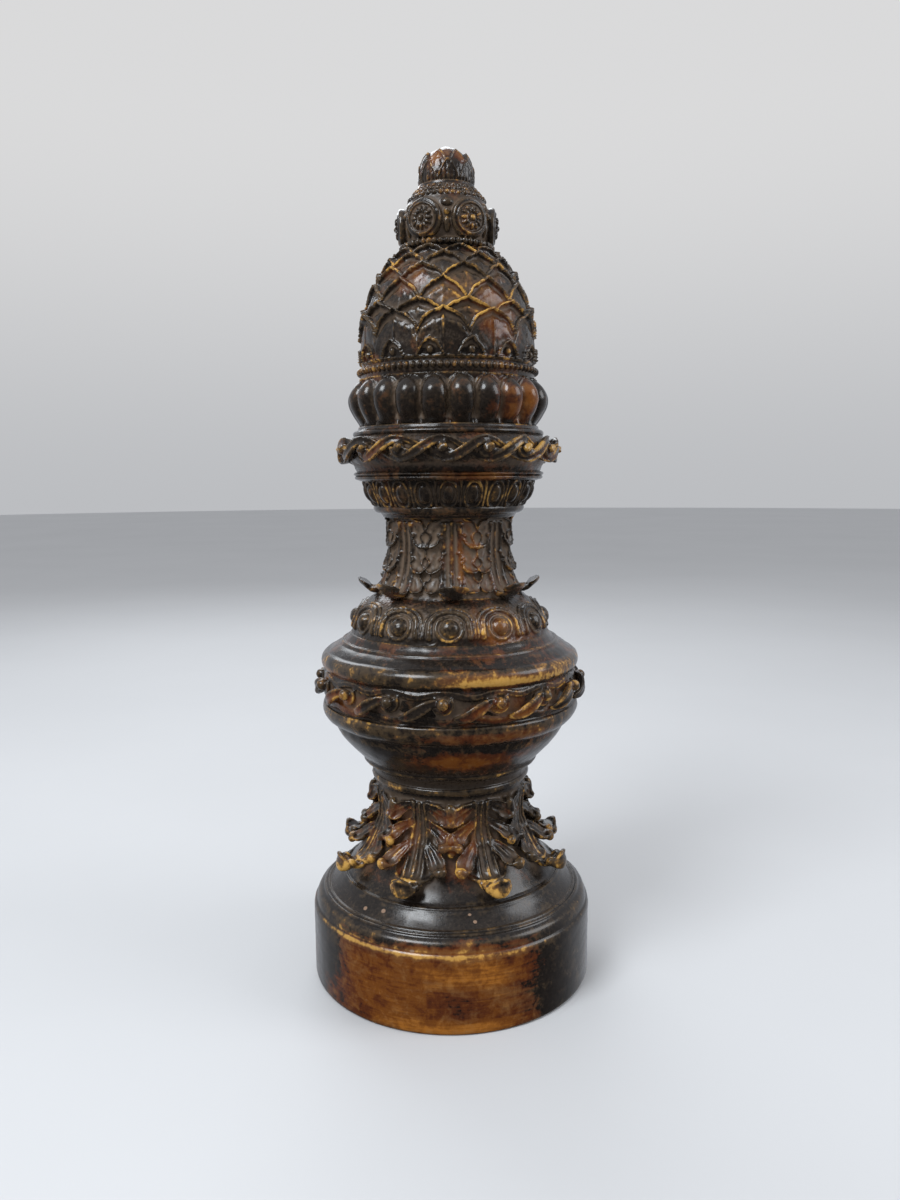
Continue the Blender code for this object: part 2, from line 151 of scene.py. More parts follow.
world = bpy.data.worlds.new("pale room")
world.use_nodes = True
room = world.node_tree
backdrop = room.nodes["Background"]
backdrop.inputs["Strength"].default_value = 1.0
direction = room.nodes.new("ShaderNodeSeparateXYZ")
room.links.new(room.nodes.new("ShaderNodeTexCoord").outputs["Generated"], direction.inputs[0])
facing = calc(room, "ADD", direction.outputs["Y"], calc(room, "MULTIPLY", direction.outputs["Z"], 0.9))
mirrored_room = mixed(room, ramp(room, facing, -0.75, 0.45), ROOM_DIM, ROOM_BRIGHT)
wall = mixed(room, ramp(room, direction.outputs["Z"], -0.05, 0.35), WALL_LOW, WALL_HIGH)
rays = room.nodes.new("ShaderNodeLightPath").outputs
around_it = mixed(room, rays["Is Glossy Ray"], ROOM_FILL, mirrored_room)
room.links.new(mixed(room, rays["Is Camera Ray"], around_it, wall), backdrop.inputs["Color"])
bpy.context.scene.world = world


# Plain pale floor, matt and very slightly uneven in tone, wide enough that its edge is never seen. It is
# kept out of reflections, so that the black glaze stays black near it.
FLOOR_RADIUS = 6.0
FLOOR_PALE = (0.50, 0.505, 0.515, 1.0)
FLOOR_TONE = (0.56, 0.565, 0.575, 1.0)

floor_mesh = bpy.data.meshes.new("floor")
around = [math.tau * step / 96 for step in range(96)]
rim = [(FLOOR_RADIUS * math.cos(a), FLOOR_RADIUS * math.sin(a), -0.0002) for a in around]
floor_mesh.from_pydata(rim, [], [tuple(range(96))])
floor = bpy.data.objects.new("floor", floor_mesh)
bpy.context.scene.collection.objects.link(floor)
floor_finish = bpy.data.materials.new("pale floor")
floor_finish.use_nodes = True
floor_tree = floor_finish.node_tree
floor_shader = floor_tree.nodes["Principled BSDF"]
floor_shader.inputs["Roughness"].default_value = 0.7
floor_place = floor_tree.nodes.new("ShaderNodeTexCoord").outputs["Object"]
floor_cloud = mottle(floor_tree, floor_place, 3.0)
floor_colour = mixed(floor_tree, floor_cloud, FLOOR_PALE, FLOOR_TONE)
floor_tree.links.new(floor_colour, floor_shader.inputs["Base Color"])
floor_mesh.materials.append(floor_finish)
floor.visible_glossy = False


# Drum base: the turned foot of the casting, with a rounded upper edge, a convex shoulder, a double raised
# line and a dished slope up to the leaves. Rubbed back to amber in front, black on both sides.
TALL = 349.04
MM = (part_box("finial")[1][2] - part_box("finial")[0][2]) / TALL
DRUM_RADIUS = 61.0
COLUMNS = 200


def curve_through(points, spacing=1.1):
    """A smooth line through points, with a doubled point as a sharp corner, resampled at an even spacing."""
    stretches = [[points[0]]]
    for point in points[1:]:
        if point == stretches[-1][-1]:
            stretches.append([point])
        else:
            stretches[-1].append(point)
    line = []
    for stretch in stretches:
        if len(stretch) < 2:
            continue
        p = np.array([stretch[0]] + stretch + [stretch[-1]], float)
        for a, b, c, d in zip(p, p[1:], p[2:], p[3:]):
            steps = max(2, int(np.linalg.norm(c - b) / spacing) + 1)
            for t in np.linspace(0.0, 1.0, steps, endpoint=False):
                bow = (2 * a - 5 * b + 4 * c - d) * t**2
                line.append(0.5 * (2 * b + (c - a) * t + bow + (3 * b - a - 3 * c + d) * t**3))
    line.append(np.array(stretches[-1][-1], float))
    return np.array(line)


def half_round(radius, middle, proud, height, steps=9):
    """Points of a half round moulding, from its foot to its top."""
    angles = np.linspace(-0.5 * math.pi, 0.5 * math.pi, steps)
    return [(radius + proud * math.cos(a), middle + 0.5 * height * math.sin(a)) for a in angles]


def grid_faces(rows, columns, closed=True, endless=False):
    """Triangles of a grid of points, which may close on itself across its columns and along its rows."""
    steps = rows if endless else rows - 1
    across = columns if closed else columns - 1
    i, j = np.meshgrid(np.arange(steps), np.arange(across), indexing="ij")
    a = i * columns + j
    b = i * columns + (j + 1) % columns
    c = (b + columns) % (rows * columns)
    d = (a + columns) % (rows * columns)
    return np.concatenate([np.stack([a, b, c], -1).reshape(-1, 3), np.stack([a, c, d], -1).reshape(-1, 3)])


def skin(grid, ends, closed=True):
    """A shape over a grid of points, with a fan from each of two end points: its points and triangles."""
    rows, columns, _ = grid.shape
    k = np.arange(columns if closed else columns - 1)
    after = (k + 1) % columns
    top = (rows - 1) * columns
    end = np.full(len(k), rows * columns)
    fans = [np.stack([end, after, k], -1), np.stack([end + 1, top + k, top + after], -1)]
    faces = np.concatenate([grid_faces(rows, columns, closed), *fans])
    return np.concatenate([grid.reshape(-1, 3), ends]), faces


def loft(rings):
    """A closed shape through rings of points."""
    rings = np.asarray(rings, float)
    return skin(rings, np.stack([rings[0].mean(0), rings[-1].mean(0)]))


def turned_solid(profile, columns=COLUMNS):
    """A lathe shape from a line of (radius, height), closed to the axis at both ends."""
    profile = np.asarray(profile, float)
    a = math.tau * np.arange(columns) / columns
    ring = np.stack([np.sin(a), -np.cos(a), np.zeros(columns)], -1)
    rise = np.array([0.0, 0.0, 1.0])
    return loft(ring[None] * profile[:, 0, None, None] + rise * profile[:, 1, None, None])


def joined(shapes):
    """Several shapes as one set of points and faces."""
    counts = np.cumsum([0] + [len(points) for points, _ in shapes[:-1]])
    points = np.concatenate([points for points, _ in shapes])
    return points, np.concatenate([faces + start for (_, faces), start in zip(shapes, counts)])


def lumps(points, size, amount, seed):
    """A slow uneven swelling, as a hand-finished casting has: one number for each point."""
    random = np.random.default_rng(seed)
    waves = random.normal(size=(14, 3))
    waves *= (math.tau / size) * random.uniform(0.6, 1.4, (14, 1)) / np.linalg.norm(waves, axis=1)[:, None]
    return amount * np.cos(points @ waves.T + random.uniform(0.0, math.tau, 14)).sum(1) / math.sqrt(14)


def vertex_normals(points, faces):
    """Outward directions at the points of a mesh of triangles or quads."""
    cross = np.cross(points[faces[:, 2]] - points[faces[:, 0]], points[faces[:, -1]] - points[faces[:, 1]])
    total = np.zeros_like(points)
    for corner in range(faces.shape[1]):
        for axis in range(3):
            total[:, axis] += np.bincount(faces[:, corner], cross[:, axis], len(points))
    return total / np.maximum(np.linalg.norm(total, axis=1), 1e-12)[:, None]


def neighbour_pairs(faces):
    """Each edge of a mesh once."""
    sides = np.concatenate([faces[:, [k, (k + 1) % faces.shape[1]]] for k in range(faces.shape[1])])
    return np.unique(np.sort(sides, 1), axis=0)


def softened(points, pairs, passes, part=0.5):
    """Points drawn towards the mean of their neighbours, some times over."""
    count = len(points)
    a, b = pairs.T
    degree = np.maximum(np.bincount(a, minlength=count) + np.bincount(b, minlength=count), 1)
    for _ in range(passes):
        sums = [np.bincount(a, points[b, k], count) + np.bincount(b, points[a, k], count) for k in range(3)]
        points = points + part * (np.stack(sums, 1) / degree[:, None] - points)
    return points


def finished_mesh(made):
    """A new mesh from an object as its modifiers leave it."""
    return bpy.data.meshes.new_from_object(made.evaluated_get(bpy.context.evaluated_depsgraph_get()))


EDGE_REACH = 0.7
HOLLOW_REACH = 3.2


def add_piece(name, shape, material, unevenness=0.12, seed=1, roughness=0.0, limit=0):
    """One finished mesh object, with how edge-like and how hollow each point is kept on it.

    With a limit, it is thinned to that many triangles, most where it is flat.
    """
    points, faces = shape
    first, second, third = (points[faces[:, corner]] for corner in range(3))
    volume = (first * np.cross(second, third)).sum()
    if volume < 0.0:
        faces = faces[:, ::-1]
    normals = vertex_normals(points, faces)
    swelling = lumps(points, 26.0, unevenness, seed) + lumps(points, 5.0, 0.3 * unevenness, seed + 1)
    if roughness:
        swelling += roughness * np.abs(lumps(points, 2.6, 1.0, seed + 2))
        swelling += lumps(points, 1.4, 0.4 * roughness, seed + 3)
    standing = points[:, 2:3] > 0.6
    points = points + normals * swelling[:, None] * standing
    pairs = neighbour_pairs(faces)
    spacing = np.linalg.norm(points[pairs[:, 0]] - points[pairs[:, 1]], axis=1).mean()
    edge_passes = int(np.clip(4 * (EDGE_REACH / spacing) ** 2, 3, 24))
    hollow_passes = int(np.clip(4 * (HOLLOW_REACH / spacing) ** 2, 20, 160))
    near = softened(points, pairs, edge_passes)
    far = softened(near, pairs, hollow_passes)
    edge = ((points - near) * normals).sum(1) / (0.25 * EDGE_REACH)
    hollow = -((points - far) * normals).sum(1) / (0.25 * HOLLOW_REACH)
    mesh = bpy.data.meshes.new(name)
    mesh.vertices.add(len(points))
    mesh.vertices.foreach_set("co", (points * MM).astype(np.float32).ravel())
    mesh.loops.add(faces.size)
    mesh.loops.foreach_set("vertex_index", faces.astype(np.int32).ravel())
    mesh.polygons.add(len(faces))
    mesh.polygons.foreach_set("loop_start", np.arange(0, faces.size, faces.shape[1], dtype=np.int32))
    mesh.update(calc_edges=True)
    for label, values in (("edge", edge), ("hollow", hollow)):
        kept = mesh.attributes.new(label, "FLOAT", "POINT")
        kept.data.foreach_set("value", values.astype(np.float32))
    mesh.shade_smooth()
    mesh.materials.append(material)
    piece = bpy.data.objects.new(name, mesh)
    bpy.context.scene.collection.objects.link(piece)
    if limit:
        thinned = piece.modifiers.new("thinned", "DECIMATE")
        thinned.ratio = limit / (len(faces) * (faces.shape[1] - 2))
        thinned.use_collapse_triangulate = True
        piece.data = finished_mesh(piece)
        piece.modifiers.remove(thinned)
        bpy.data.meshes.remove(mesh)
    return piece


# The colours of the glaze, from the dark ground to the worn gold, then the film on it, the dust and the body
NEAR_BLACK = (0.0085, 0.0065, 0.0055, 1.0)
CHARCOAL = (0.018, 0.0135, 0.0105, 1.0)
RED_BROWN = (0.085, 0.0210, 0.0055, 1.0)
AMBER_BROWN = (0.140, 0.044, 0.0070, 1.0)
AMBER = (0.330, 0.120, 0.0150, 1.0)
OCHRE = (0.330, 0.155, 0.0280, 1.0)
GOLD = (0.640, 0.365, 0.0800, 1.0)
BRASS_BROWN = (0.135, 0.087, 0.0430, 1.0)
TAUPE = (0.115, 0.079, 0.0520, 1.0)
PALE_BODY = (0.230, 0.145, 0.0950, 1.0)


def group_socket(tree, name, kind, value=None, output=False):
    """A named socket of a shader group."""
    made = tree.interface.new_socket(name, in_out="OUTPUT" if output else "INPUT", socket_type=kind)
    if value is not None:
        made.default_value = value


def glaze_group():
    """The antique glaze: mottled ground, amber patches, gold on worn edges and dust in the hollows."""
    tree = bpy.data.node_groups.new("antique glaze", "ShaderNodeTree")
    for name, value in (
        ("Red", 0.5), ("Amber", 0.0), ("Gold", 0.7), ("Dust", 0.5), ("Patch", 0.0), ("Dark patch and painted shade", 0.0),
        ("Gold patch", 0.0), ("Chip", 0.0), ("Brushed", 0.0), ("Fineness", 1.0),
    ):
        group_socket(tree, name, "NodeSocketFloat", value)
    group_socket(tree, "Colour", "NodeSocketColor", output=True)
    for name in ("Roughness", "Coat", "Height"):
        group_socket(tree, name, "NodeSocketFloat", output=True)
    given = tree.nodes.new("NodeGroupInput").outputs
    out = tree.nodes.new("NodeGroupOutput").inputs

    in_mm = tree.nodes.new("ShaderNodeVectorMath")
    in_mm.operation = "SCALE"
    in_mm.inputs["Scale"].default_value = 1.0 / MM
    tree.links.new(tree.nodes.new("ShaderNodeTexCoord").outputs["Object"], in_mm.inputs[0])
    place = in_mm.outputs[0]

    def kept(label):
        made = tree.nodes.new("ShaderNodeAttribute")
        made.attribute_name = label
        return made.outputs["Fac"]

    edge, hollow = kept("edge"), kept("hollow")
    broad = mottle(tree, place, 0.045, 5.0, 0.8)
    middle = mottle(tree, place, 0.17, 5.0, 0.9)
    fine = mottle(tree, place, 0.75, 5.0, 0.3, 0.65)
    grit = mottle(tree, place, 3.2, 3.0)

    brush = tree.nodes.new("ShaderNodeMapping")
    brush.inputs["Scale"].default_value = (0.05, 0.05, 0.75)
    tree.links.new(place, brush.inputs["Vector"])
    strokes = mottle(tree, brush.outputs["Vector"], 1.0, 4.0, 0.4)

    def times(*values, clamp=False):
        return calc(tree, "MULTIPLY", *values, clamp=clamp)

    def about(value, factor):
        return times(calc(tree, "SUBTRACT", value, 0.5), factor)

    def total(*values):
        added = values[0]
        for value in values[1:]:
            added = calc(tree, "ADD", added, value)
        return added

    colour = mixed(tree, ramp(tree, fine, 0.32, 0.72), NEAR_BLACK, CHARCOAL)
    # Dark patches hold the rub-through back to black glaze. Where they are laid as rings all round a recess
    # or under an overhang, they are painted shade.
    rubbed = total(
        given["Amber"], times(given["Patch"], 0.46), about(broad, 1.0), about(middle, 0.9),
        about(fine, 0.5), about(grit, 0.2), times(about(strokes, 1.6), given["Brushed"]),
        times(given["Dark patch and painted shade"], -0.6),
    )
    red = times(ramp(tree, rubbed, 0.0, 0.26), given["Red"])
    colour = mixed(tree, red, colour, RED_BROWN)
    colour = mixed(tree, ramp(tree, rubbed, 0.24, 0.52), colour, AMBER_BROWN)
    colour = mixed(tree, ramp(tree, rubbed, 0.52, 1.05), colour, AMBER)

    standing = times(calc(tree, "MINIMUM", edge, 0.8), 0.8)
    patchy = total(
        about(broad, 1.3), about(middle, 1.9), about(fine, 1.0), times(given["Gold patch"], 0.32))
    worn = calc(tree, "ADD", standing, patchy)
    sheen = times(ramp(tree, worn, 0.10, 0.75), times(given["Gold"], 0.55))
    colour = mixed(tree, sheen, colour, BRASS_BROWN)
    gold = times(ramp(tree, worn, 0.68, 1.08), given["Gold"], clamp=True)
    colour = mixed(tree, gold, colour, mixed(tree, ramp(tree, worn, 0.75, 1.25), OCHRE, GOLD))

    settled = calc(tree, "ADD", hollow, about(fine, 0.7))
    film = calc(tree, "ADD", ramp(tree, settled, -0.25, 0.75), 0.05)
    dust = times(times(film, given["Dust"]), calc(tree, "SUBTRACT", 1.0, gold), clamp=True)
    colour = mixed(tree, dust, colour, TAUPE)
    chip = ramp(tree, given["Chip"], 0.5, 0.62)
    colour = mixed(tree, chip, colour, PALE_BODY)
    tree.links.new(colour, out["Colour"])

    rough = total(0.22, times(dust, 0.34), about(fine, 0.25), times(gold, 0.08))
    tree.links.new(calc(tree, "ADD", rough, times(chip, 0.3)), out["Roughness"])
    tree.links.new(calc(tree, "SUBTRACT", 0.27, times(dust, 0.40), clamp=True), out["Coat"])
    height = calc(tree, "ADD", times(fine, 0.6), times(grit, 0.25))
    height = times(height, given["Fineness"])
    tree.links.new(calc(tree, "SUBTRACT", height, times(chip, 0.8)), out["Height"])
    return tree


def patch_group():
    """A ragged patch on the finial's side, by its azimuth and height: 1 in its middle, 0 outside."""
    tree = bpy.data.node_groups.new("patch", "ShaderNodeTree")
    for name in ("Azimuth", "Height", "Wide", "Tall", "Ragged"):
        group_socket(tree, name, "NodeSocketFloat", 10.0)
    group_socket(tree, "Strength", "NodeSocketFloat", 1.0)
    group_socket(tree, "Mask", "NodeSocketFloat", output=True)
    given = tree.nodes.new("NodeGroupInput").outputs
    out = tree.nodes.new("NodeGroupOutput").inputs
    place = tree.nodes.new("ShaderNodeTexCoord").outputs["Object"]
    parts = tree.nodes.new("ShaderNodeSeparateXYZ")
    tree.links.new(place, parts.inputs[0])
    turn = calc(tree, "ARCTAN2", parts.outputs["X"], calc(tree, "MULTIPLY", parts.outputs["Y"], -1.0))
    off = calc(tree, "SUBTRACT", turn, calc(tree, "RADIANS", given["Azimuth"]))
    off = calc(tree, "ARCCOSINE", calc(tree, "COSINE", off))
    across = calc(tree, "DIVIDE", calc(tree, "DEGREES", off), given["Wide"])
    up = calc(tree, "SUBTRACT", calc(tree, "DIVIDE", parts.outputs["Z"], MM), given["Height"])
    up = calc(tree, "DIVIDE", up, given["Tall"])
    away = calc(tree, "ADD", calc(tree, "MULTIPLY", across, across), calc(tree, "MULTIPLY", up, up))
    away = calc(tree, "SQRT", away)
    torn = calc(tree, "SUBTRACT", mottle(tree, place, 130.0, 5.0, 0.6), 0.5)
    away = calc(tree, "ADD", away, calc(tree, "MULTIPLY", torn, given["Ragged"]))
    tree.links.new(calc(tree, "MULTIPLY", ramp(tree, away, 1.45, 0.25), given["Strength"]), out["Mask"])
    return tree


GLAZE = glaze_group()
PATCH = patch_group()


def glazed(name, red=0.5, amber=0.0, gold=0.7, dust=0.5, brushed=0.0, fineness=1.0, patches=(), gloss=0.18):
    """The glaze on one piece, with its own share of each colour and its own patches.

    A patch is (which input, azimuth, height, half width in degrees, half height, raggedness, strength).
    """
    material = bpy.data.materials.new(name)
    material.use_nodes = True
    tree = material.node_tree
    shader = tree.nodes["Principled BSDF"]
    glaze = tree.nodes.new("ShaderNodeGroup")
    glaze.node_tree = GLAZE
    shares = {
        "Red": red, "Amber": amber, "Gold": gold, "Dust": dust, "Brushed": brushed, "Fineness": fineness,
    }
    for socket, value in shares.items():
        glaze.inputs[socket].default_value = value
    totals = {}
    for socket, *numbers in patches:
        patch = tree.nodes.new("ShaderNodeGroup")
        patch.node_tree = PATCH
        for entry, number in zip(patch.inputs, numbers):
            entry.default_value = number
        mask = patch.outputs["Mask"]
        totals[socket] = calc(tree, "ADD", totals[socket], mask) if socket in totals else mask
    for socket, total in totals.items():
        tree.links.new(total, glaze.inputs[socket])
    bump = tree.nodes.new("ShaderNodeBump")
    bump.inputs["Strength"].default_value = 0.35
    bump.inputs["Distance"].default_value = 0.25 * MM
    tree.links.new(glaze.outputs["Height"], bump.inputs["Height"])
    tree.links.new(glaze.outputs["Colour"], shader.inputs["Base Color"])
    tree.links.new(glaze.outputs["Roughness"], shader.inputs["Roughness"])
    tree.links.new(glaze.outputs["Coat"], shader.inputs["Coat Weight"])
    tree.links.new(bump.outputs["Normal"], shader.inputs["Normal"])
    shader.inputs["Coat Roughness"].default_value = gloss
    shader.inputs["Specular IOR Level"].default_value = 0.24
    return material


drum_profile = curve_through([
    (0.5, 0.0), (60.0, 0.0), (60.0, 0.0), (60.7, 0.35), (DRUM_RADIUS, 1.3), (DRUM_RADIUS, 1.3),
    (DRUM_RADIUS, 15.0), (DRUM_RADIUS, 28.6), (60.9, 31.0), (60.5, 32.3), (59.8, 33.0), (59.8, 33.0),
    (59.5, 34.6), (58.5, 36.8), (56.6, 38.2),
    (56.6, 38.2), (56.3, 38.9), (55.7, 39.3), (55.2, 38.9), (55.2, 38.9), (54.9, 39.5), (54.3, 39.9),
    (53.8, 39.5), (53.8, 39.5), (52.5, 40.6), (50.4, 42.6), (49.0, 44.3), (48.3, 45.0), (48.3, 45.0),
    (47.9, 45.7), (47.2, 46.0), (46.5, 45.7), (46.5, 45.7), (45.6, 46.4), (43.0, 47.0), (30.0, 47.4),
    (4.0, 47.4),
])
CHIPS = ((-43.0, 41.6, 1.3), (-33.0, 42.6, 1.5), (8.5, 44.0, 1.0), (10.5, 41.8, 1.0), (-15.0, 33.6, 1.0))
drum_patches = [
    ("Patch", -14.0, 13.0, 44.0, 26.0, 0.9, 1.15), ("Patch", 18.0, 25.0, 26.0, 6.0, 0.9),
    ("Patch", 6.0, 2.0, 30.0, 4.0, 0.9), ("Patch", 168.0, 16.0, 60.0, 24.0, 0.9),
    ("Dark patch and painted shade", -60.0, 24.0, 13.0, 13.0, 0.8), ("Dark patch and painted shade", 62.0, 15.0, 30.0, 34.0, 0.9),
    # The dark ring all round at 45 mm on the next line is painted shade, on the astragal and dish under the
    # overhanging leaf tips.
    ("Dark patch and painted shade", 3.0, 12.0, 11.0, 10.0, 2.0, 0.55), ("Dark patch and painted shade", 0.0, 45.0, 400.0, 10.0, 0.2),
    ("Dark patch and painted shade", -120.0, 20.0, 26.0, 16.0, 0.9), ("Patch", 14.0, 34.0, 36.0, 4.0, 0.9, 0.7),
    ("Gold patch", 14.0, 32.2, 30.0, 2.4, 0.6, 1.8), ("Gold patch", -34.0, 32.6, 34.0, 1.8, 0.6, 2.0),
]
for chip_azimuth, chip_height, chip_size in CHIPS:
    drum_patches.append(("Chip", chip_azimuth, chip_height, chip_size, 0.55 * chip_size, 0.9))
drum_glaze = glazed(
    "glaze on the drum base", red=0.9, amber=0.02, gold=0.55, dust=0.25, brushed=0.45, patches=drum_patches)
drum_base = add_piece("drum_base", turned_solid(drum_profile), drum_glaze, unevenness=0.10, seed=3)
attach(drum_base, "root")
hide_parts("finial")


# Lower neck: eight hanging acanthus leaves, cast with the neck that they cover. Each has a fluted midrib
# that ends in a fat curled tip, and rows of side lobes that stand out, rubbed to gold on every boss.
LEAVES = 8
LOWER_LEAF_TURN = 22.5
LEAF_VOXEL = 0.52
neck_profile = curve_through([
    (46.5, 44.4), (45.4, 46.8), (42.5, 50.3), (40.2, 53.7), (37.2, 58.0), (33.2, 65.6), (31.0, 71.6),
    (31.2, 78.4), (32.2, 84.3), (33.0, 88.6),
])


def held(number):
    """A number held from 0 to 1."""
    return np.clip(number, 0.0, 1.0)


def lengths_along(profile):
    """How far along a profile each of its points lies."""
    return np.concatenate([[0.0], np.cumsum(np.linalg.norm(np.diff(profile, axis=0), axis=1))])


def bend(shape, profile):
    """A shape made flat, in (across, out, along the profile), laid round the turned ground."""
    points, faces = shape
    along = lengths_along(profile)
    slope = np.gradient(profile, along, axis=0)
    s, out, place = points.T
    radius = np.interp(place, along, profile[:, 0])
    height = np.interp(place, along, profile[:, 1])
    tilt_r = np.interp(place, along, slope[:, 1])
    tilt_z = -np.interp(place, along, slope[:, 0])
    size = np.hypot(tilt_r, tilt_z)
    turn = s / radius
    reach = radius + out * tilt_r / size
    return np.stack([reach * np.sin(turn), -reach * np.cos(turn), height + out * tilt_z / size], 1), faces


def swept(middle, side, up, wide, over, under, waist=1.0):
    """A closed band along a line, from its half widths and the heights of its upper and under sides."""
    middle, side, up, wide = middle[:, None], side[:, None], up[:, None], wide[..., None]
    top = middle + side * wide + up * over[..., None]
    base = middle + side * waist * wide + up * under[..., None]
    return loft(np.concatenate([top, base[:, ::-1]], 1))


def lobe(start, heading, sweep, length, width, lift=0.0, curl=90.0, curl_from=0.6, flutes=3, thick=1.6,
         flute_depth=0.45, rim=0.5, root_width=0.5, root_depth=2.2, ruffle=0.06):
    """A fluted leaf lobe that grows from its root, turns by its sweep and curls outwards at its tip.

    The start is (across, out, along), and the heading is in degrees from straight down.
    """
    t = np.linspace(0.0, 1.0, 34)
    plan = np.radians(heading + sweep * t)
    climb = np.radians(lift * (1.0 - t) + curl * held((t - curl_from) / (1.0 - curl_from)) ** 1.5)
    ahead = np.stack([np.cos(climb) * np.sin(plan), np.sin(climb), -np.cos(climb) * np.cos(plan)], 1)
    middle = np.array(start) + length * (np.cumsum(ahead, 0) - ahead[0]) / len(t)
    side = np.stack([np.cos(plan), 0.0 * plan, np.sin(plan)], 1)
    up = np.stack([-np.sin(climb) * np.sin(plan), np.cos(climb), np.sin(climb) * np.cos(plan)], 1)
    fullness = root_width + (1.0 - root_width) * np.sin(0.5 * math.pi * held(t / 0.72)) ** 1.5
    fullness *= np.sqrt(np.clip(1.0 - held((t - 0.8) / 0.2) ** 2.0, 0.02, 1.0))
    fullness *= 1.0 + ruffle * np.cos(math.tau * 3.0 * t)
    v = np.linspace(-1.0, 1.0, 6 * flutes + 3)
    section = flute_depth * np.cos(math.tau * v * flutes / 2.0) + rim * np.abs(v) ** 3 - 0.5 * rim
    fade = held((1.05 - t) / 0.3)[:, None]
    over = section[None] * (0.25 + 0.75 * fade)
    under = -(thick + root_depth * (1.0 - t) ** 2)[:, None] * (1.0 - 0.35 * v[None] ** 2)
    return swept(middle, side, up, (width * fullness)[:, None] * v[None], over, under, waist=0.92)


def mirrored(shape):
    """The same shape on the other side of the leaf's midrib."""
    points, faces = shape
    return points * np.array([-1.0, 1.0, 1.0]), faces[:, ::-1]


def boss(middle, across, out, along, count=12):
    """A rounded knob."""
    latitude = np.linspace(-0.5 * math.pi, 0.5 * math.pi, count)[1:-1]
    turn = math.tau * np.arange(count) / count
    rings = np.stack([
        np.cos(latitude)[:, None] * np.cos(turn) * across,
        np.cos(latitude)[:, None] * np.sin(turn) * out,
        np.sin(latitude)[:, None] * np.ones(count) * along,
    ], -1)
    return loft(rings + np.array(middle))


def ring_tree():
    """Geometry Nodes: equal copies of one shape set round the axis, each turned and sized a little off."""
    tree = bpy.data.node_groups.new("ring of copies", "GeometryNodeTree")
    tree.interface.new_socket("Geometry", in_out="OUTPUT", socket_type="NodeSocketGeometry")
    tree.interface.new_socket("Geometry", in_out="INPUT", socket_type="NodeSocketGeometry")
    for name, kind in (
        ("Copies", "NodeSocketInt"), ("Turn", "NodeSocketFloat"), ("Unevenness", "NodeSocketFloat"),
        ("Seed", "NodeSocketInt"), ("Material", "NodeSocketMaterial"),
    ):
        tree.interface.new_socket(name, in_out="INPUT", socket_type=kind)
    nodes, link = tree.nodes, tree.links.new
    given = nodes.new("NodeGroupInput").outputs
    stations = nodes.new("GeometryNodeMeshLine")
    link(given["Copies"], stations.inputs["Count"])
    stations.inputs["Offset"].default_value = (0.0, 0.0, 0.0)

    def chance(low, high, added):
        made = nodes.new("FunctionNodeRandomValue")
        made.data_type = "FLOAT"
        made.inputs[2].default_value = low
        made.inputs[3].default_value = high
        link(calc(tree, "ADD", given["Seed"], added), made.inputs["Seed"])
        return made.outputs[1]

    share = calc(tree, "DIVIDE", nodes.new("GeometryNodeInputIndex").outputs[0], given["Copies"])
    angle = calc(tree, "ADD", calc(tree, "MULTIPLY", share, 360.0), given["Turn"])
    angle = calc(tree, "ADD", angle, calc(tree, "MULTIPLY", chance(-1.0, 1.0, 0), given["Unevenness"]))
    rotation = nodes.new("ShaderNodeCombineXYZ")
    link(calc(tree, "RADIANS", angle), rotation.inputs["Z"])
    reach = calc(tree, "ADD", 1.0, calc(tree, "MULTIPLY", chance(-0.010, 0.006, 7), given["Unevenness"]))
    size = nodes.new("ShaderNodeCombineXYZ")
    link(reach, size.inputs["X"])
    link(reach, size.inputs["Y"])
    size.inputs["Z"].default_value = 1.0
    place = nodes.new("GeometryNodeInstanceOnPoints")
    link(stations.outputs[0], place.inputs["Points"])
    link(given["Geometry"], place.inputs["Instance"])
    link(rotation.outputs[0], place.inputs["Rotation"])
    link(size.outputs[0], place.inputs["Scale"])
    real = nodes.new("GeometryNodeRealizeInstances")
    finish = nodes.new("GeometryNodeSetMaterial")
    link(place.outputs[0], real.inputs[0])
    link(real.outputs[0], finish.inputs["Geometry"])
    link(given["Material"], finish.inputs["Material"])
    link(finish.outputs[0], nodes.new("NodeGroupOutput").inputs[0])
    return tree


RING = ring_tree()


def plain_object(name, shape):
    """A bare mesh object from a shape, in millimetres."""
    mesh = bpy.data.meshes.new(name)
    mesh.from_pydata(shape[0].tolist(), [], shape[1].tolist())
    made = bpy.data.objects.new(name, mesh)
    bpy.context.scene.collection.objects.link(made)
    return made


def shape_of(made, corners):
    """The evaluated mesh of an object as a shape, and the object thrown away."""
    mesh = finished_mesh(made)
    points = np.empty(3 * len(mesh.vertices), np.float32)
    mesh.vertices.foreach_get("co", points)
    faces = np.empty(len(mesh.loops), np.int32)
    mesh.loops.foreach_get("vertex_index", faces)
    old = made.data
    bpy.data.objects.remove(made)
    bpy.data.meshes.remove(old)
    bpy.data.meshes.remove(mesh)
    return points.reshape(-1, 3).astype(float), faces.reshape(-1, corners).astype(np.int64)


def ring_of(shape, copies, turn, material, unevenness=0.0, seed=1):
    """Copies of a shape round the axis, made by the Geometry Nodes ring."""
    made = plain_object("unit", shape)
    ring = made.modifiers.new("ring", "NODES")
    ring.node_group = RING
    values = {
        "Copies": copies, "Turn": float(turn), "Unevenness": float(unevenness), "Seed": seed,
        "Material": material,
    }
    for item in RING.interface.items_tree:
        if item.in_out == "INPUT" and item.name in values:
            ring[item.identifier] = values[item.name]
    return shape_of(made, shape[1].shape[1])


def fused(shapes, voxel, smoothing=3):
    """Overlapping closed shapes cast into one skin of small even faces, then smoothed."""
    made = plain_object("cast", joined(shapes))
    remesh = made.modifiers.new("cast", "REMESH")
    remesh.mode = "VOXEL"
    remesh.voxel_size = voxel
    remesh.adaptivity = 0.0
    points, faces = shape_of(made, 4)
    return softened(points, neighbour_pairs(faces), smoothing), faces


